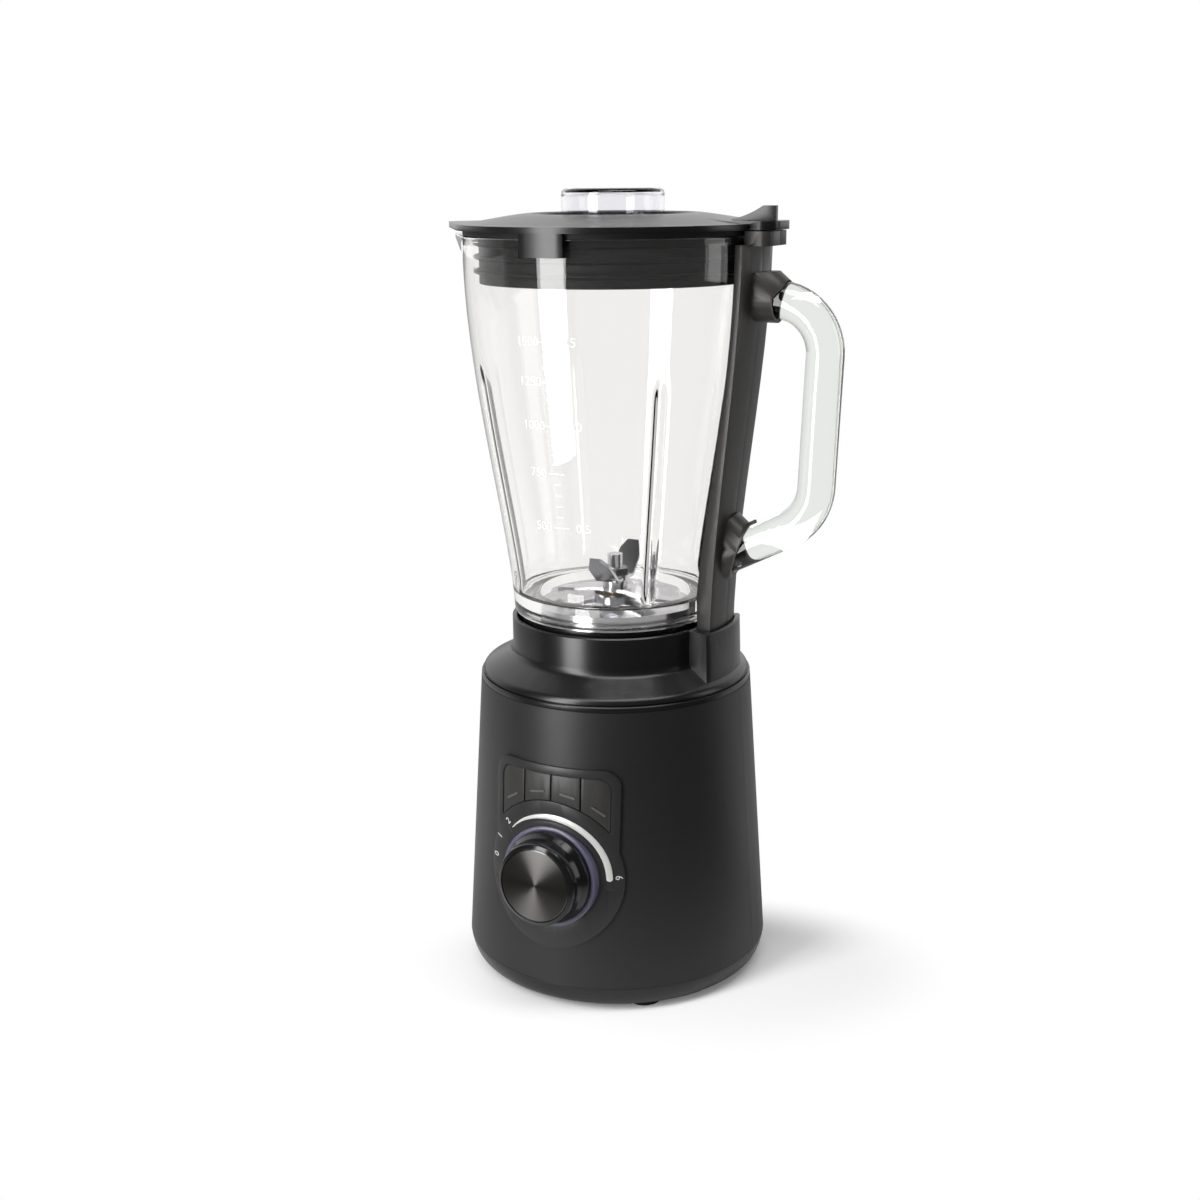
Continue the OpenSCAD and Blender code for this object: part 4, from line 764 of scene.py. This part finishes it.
# ---- Glass jug ----
# Pressed glass with a heavy floor, four inner ribs that break up the flow, a
# pouring lip and a drawn glass handle. It is clear with a green cast where
# it is thick. The scale is printed on the outside in white ceramic ink.
finish("jug_glass", (0.985, 0.977, 0.966), 0.0, Transmission_Weight=1.0, IOR=1.5,
       steps={"Grain size": 22, "Grain depth": 0.03, "Mottle": 0.0})
thick_glass = finish("thick_glass", (0.84, 0.865, 0.83), 0.0, Transmission_Weight=1.0, IOR=1.5,
                     steps={"Grain size": 9, "Grain depth": 0.05, "Mottle": 0.0})
glass_wall, rim_z, floor_z = 4.4, 386, 205
outer_curve = ((53, 197.5), (56, 245), (75.6, 317), (75, 384.2))
beak_z, beak_rise, beak_reach = 338, 46, 15
rib_first_z, rib_last_z, rib_depth, rib_spread = 205.5, 321, 2.3, 2.3


def bezier(p, t):
    """Point of a cubic curve with four control points."""
    return tuple((1 - t) ** 3 * a + 3 * t * (1 - t) ** 2 * b + 3 * t * t * (1 - t) * c + t ** 3 * d
                 for a, b, c, d in zip(*p))


wall_line = [bezier(outer_curve, i / 60) for i in range(61)]


def outer_at(z):
    """Outer radius of the glass at a height, in millimetres."""
    for (r0, z0), (r1, z1) in zip(wall_line[:-1], wall_line[1:]):
        if z <= z1:
            return r0 + (r1 - r0) * max(0, (z - z0)) / (z1 - z0)
    return wall_line[-1][0]


def beak(angle, radius, tip, reach):
    """Radius of a circle drawn out to a rounded beak towards -X."""
    turn = abs(math.remainder(angle - math.pi, 2 * math.pi))
    d = reach - tip
    if d <= radius - tip:
        return radius
    side = math.acos((radius - tip) / d)
    end = math.atan2(tip * math.sin(side), d + tip * math.cos(side))
    if turn >= side:
        return radius
    if turn > end:
        return radius / math.cos(side - turn)
    return d * math.cos(turn) + math.sqrt(max(0, tip ** 2 - (d * math.sin(turn)) ** 2))


inner_wall = [(r - glass_wall, z, 0) for r, z in reversed(wall_line) if z > floor_z + 5]
outline = rounded([(39, 183.8, 0.6), (44, 183.8, 0.8), (44, 194, 1.0), (52.6, 194, 2.4)]
                  + [(r, z, 0) for r, z in wall_line]
                  + [(75.3, rim_z, 1.6), (70.5, rim_z, 1.2)] + inner_wall
                  + [(inner_wall[-1][0], floor_z, 4.0), (39, floor_z, 0.8)])
ribs = [math.radians(a) for a in (45, 135, 225, 315)]


def jug_shape(angle, r, z):
    """Draws the round wall out to the beak and raises the ribs on its inside."""
    inside = r < outer_at(z) - glass_wall / 2
    if z > beak_z:
        t = min(1, (z - beak_z) / beak_rise)
        wall = glass_wall if inside else 0
        radius = r + wall
        r = beak(angle, radius, 10 + 22 * (1 - t), radius + beak_reach * t ** 1.6) - wall
    if inside and floor_z < z < rib_last_z:
        near = min(abs(math.remainder(angle - rib, 2 * math.pi)) * r for rib in ribs)
        ends = min(1, max(0, (z - rib_first_z) / 5)) * min(1, (rib_last_z - z) / 6)
        r -= rib_depth * ends * math.exp(-(near / rib_spread) ** 2)
    return r, z


jug = turned("jug_body", outline, 448, jug_shape)
dress("glass_jug")
carry(jug, finishes["jug_glass"], "jug", "jug_glass", "glass_jug")


def ladder_tree():
    """Upright row of thin level marks, facing -Y, centred on the axis."""
    tree = bpy.data.node_groups.new("row_of_marks", "GeometryNodeTree")
    add_socket(tree, "Count", "Int", "INPUT", 4)
    for name, value in {"Start": 0.25, "Step": 0.005, "Width": 0.003, "Line": 0.0005}.items():
        add_socket(tree, name, "Float", "INPUT", value)
    add_socket(tree, "Finish", "Material", "INPUT")
    add_socket(tree, "Marks", "Geometry", "OUTPUT")
    new, link = tree.nodes.new, tree.links.new
    given, result = new("NodeGroupInput"), new("NodeGroupOutput")
    row, start, step = (new("GeometryNodeMeshLine"), new("ShaderNodeCombineXYZ"),
                        new("ShaderNodeCombineXYZ"))
    link(given.outputs["Count"], row.inputs["Count"])
    link(given.outputs["Start"], start.inputs["Z"])
    link(given.outputs["Step"], step.inputs["Z"])
    link(start.outputs[0], row.inputs["Start Location"])
    link(step.outputs[0], row.inputs["Offset"])
    size, mark = new("ShaderNodeCombineXYZ"), new("GeometryNodeMeshCube")
    size.inputs["Y"].default_value = 0.00008
    link(given.outputs["Width"], size.inputs["X"])
    link(given.outputs["Line"], size.inputs["Z"])
    link(size.outputs[0], mark.inputs["Size"])
    mark.inputs["Vertices X"].default_value = 6
    spread, real, paint = (new("GeometryNodeInstanceOnPoints"),
                           new("GeometryNodeRealizeInstances"), new("GeometryNodeSetMaterial"))
    link(row.outputs["Mesh"], spread.inputs["Points"])
    link(mark.outputs["Mesh"], spread.inputs["Instance"])
    link(spread.outputs["Instances"], real.inputs["Geometry"])
    link(real.outputs["Geometry"], paint.inputs["Geometry"])
    link(given.outputs["Finish"], paint.inputs["Material"])
    link(paint.outputs["Geometry"], result.inputs["Marks"])
    return tree


white_ink = finish("white_ink", (0.75, 0.75, 0.74), 0.45,
                   steps={"Grain size": 0.2, "Grain depth": 0.01, "Mottle": 0.4})
row_of_marks = ladder_tree()
levels = ((248, "500", "0.5"), (275.5, "750", ""), (299, "1000", "1.0"), (320.2, "1250", ""),
          (339.2, "1500", "1.5"))
scale_numbers = printed("scale_numbers", [
    (text, x, z, 0) for z, left, right in levels
    for x, text in ((-10, left), (11.5, right)) if text], 4.4)
carry(wrapped(scale_numbers, outer_at, 0.04), white_ink, "jug", "jug_glass")
for i, ((low, _, _), (high, _, _)) in enumerate(zip(levels[:-1], levels[1:])):
    step = (high - low) / 5
    marks = run_tree(empty_source("marks"), row_of_marks, "scale_marks_%d" % (i + 1), Count=4,
                     Start=(low + step) * MM, Step=step * MM, Width=3.4 * MM, Line=0.45 * MM,
                     Finish=white_ink)
    carry(wrapped(marks, outer_at, 0.04), white_ink, "jug", "jug_glass")
long_marks = [run_tree(empty_source("level"), row_of_marks, "long_mark", Count=1, Start=z * MM,
                       Step=MM, Width=8 * MM, Line=0.6 * MM, Finish=white_ink)
              for z, _, _ in levels]
level_marks = joined("level_marks", [mark.data for mark in long_marks])
for mark in long_marks:
    bpy.data.objects.remove(mark)
carry(wrapped(level_marks, outer_at, 0.04), white_ink, "jug", "jug_glass")


def bar_tree():
    """A round bar along a curve, closed at both ends."""
    tree = bpy.data.node_groups.new("bar_along_route", "GeometryNodeTree")
    add_socket(tree, "Route", "Geometry", "INPUT")
    add_socket(tree, "Radius", "Float", "INPUT", 0.009)
    add_socket(tree, "Sides", "Int", "INPUT", 48)
    add_socket(tree, "Finish", "Material", "INPUT")
    add_socket(tree, "Bar", "Geometry", "OUTPUT")
    new, link = tree.nodes.new, tree.links.new
    given, result = new("NodeGroupInput"), new("NodeGroupOutput")
    section, sweep = new("GeometryNodeCurvePrimitiveCircle"), new("GeometryNodeCurveToMesh")
    sweep.inputs["Fill Caps"].default_value = True
    smooth, paint = new("GeometryNodeSetShadeSmooth"), new("GeometryNodeSetMaterial")
    real = new("GeometryNodeRealizeInstances")
    link(given.outputs["Radius"], section.inputs["Radius"])
    link(given.outputs["Sides"], section.inputs["Resolution"])
    link(given.outputs["Route"], sweep.inputs["Curve"])
    link(section.outputs["Curve"], sweep.inputs["Profile Curve"])
    link(sweep.outputs["Mesh"], smooth.inputs["Geometry"])
    link(smooth.outputs["Geometry"], real.inputs["Geometry"])
    link(real.outputs["Geometry"], paint.inputs["Geometry"])
    link(given.outputs["Finish"], paint.inputs["Material"])
    link(paint.outputs["Geometry"], result.inputs["Bar"])
    return tree


def bent_route(corners, bends, steps=14):
    """Points along straight runs in the XZ plane, with a round bend at each inner corner."""
    points = [Vector(corners[0])]
    for back, at, on, bend in zip(corners[:-2], corners[1:-1], corners[2:], bends):
        back, at, on = Vector(back) - Vector(at), Vector(at), Vector(on) - Vector(at)
        half = back.angle(on) / 2
        middle = at + (back.normalized() + on.normalized()).normalized() * bend / math.sin(half)
        start = at + back.normalized() * bend / math.tan(half) - middle
        end = at + on.normalized() * bend / math.tan(half) - middle
        first = math.atan2(start.y, start.x)
        sweep = math.remainder(math.atan2(end.y, end.x) - first, 2 * math.pi)
        for k in range(steps + 1):
            angle = first + sweep * k / steps
            points.append(middle + bend * Vector((math.cos(angle), math.sin(angle))))
    return points + [Vector(corners[-1])]


def route_object(name, points):
    """A curve through points (x, z) in the plane of the motor axis."""
    curve = bpy.data.curves.new(name, "CURVE")
    curve.dimensions = "3D"
    spline = curve.splines.new("POLY")
    spline.points.add(len(points) - 1)
    for point, (x, z) in zip(spline.points, points):
        point.co = (x * MM + motor_axis.x, motor_axis.y, z * MM, 1)
    return placed(name, curve)


bar_along_route = bar_tree()
handle_corners = [(75.4, 356), (113.1, 356), (108.8, 251.1), (59, 225.4)]
handle_points = bent_route(handle_corners, [25, 26])
handle = run_tree(route_object("handle_route", handle_points), bar_along_route, "jug_handle",
                  Radius=9.2 * MM, Sides=64, Finish=thick_glass)
carry(clean_mesh(handle), thick_glass, "jug", "jug_glass")

# ---- Handle cover ----
# Two mirrored half shells of dark plastic, clipped together round the roots of
# the glass handle, with a sleeve at each root and a thumb rest on top.
finish("cover_plastic", (0.027, 0.0245, 0.022), 0.38, steps={"Grain size": 0.4})
for half in ("handle_cover_front", "handle_cover_rear"):
    softened(half, "jug", 0.5)

# ---- Jug base and blades ----
# The threaded base of the jug closes its open bottom with a steel carrier and
# a silicone gasket. The blade shaft runs in a bronze bush in the carrier.
finish("silicone", (0.7, 0.7, 0.66), 0.5)
finish("bronze", (0.45, 0.3, 0.12), 0.4, worked_metal, Metallic=1.0)
dress("jug_base", "blade_carrier", "blade_gasket", "blade_bush", "blade_shaft", "lower_blades",
      "upper_blades", "blade_spacer", "blade_nut", "driven_coupling")

# ---- Lid ----
# A black lid with a pouring beak, a thumb tab and a seal whose lips press on
# the inside of the glass.
softened("lid", "lid")
dress("lid_seal")

# ---- Measuring cap ----
# A clear plastic cup, upside down in the hole of the lid, used as a stopper
# and to measure small amounts.
finish("cap_plastic", (0.95, 0.95, 0.968), 0.02, Transmission_Weight=1.0, IOR=1.49,
       steps={"Grain depth": 0.0, "Mottle": 0.0})
dress("measuring_cap")
cup = turned("cap_cup", rounded([
    (0, 408.2, 0), (25.7, 408.2, 3.4), (25.7, 390.7, 0.5), (23.2, 390.7, 0.3), (23.2, 377.7, 0.7),
    (21, 377.7, 0.7), (21, 392.9, 0.6), (23.5, 392.9, 0.8), (23.5, 406, 2.2), (0, 406, 0)], 8), 192)
carry(cup, finishes["cap_plastic"], "cap", "cap_plastic", "measuring_cap")
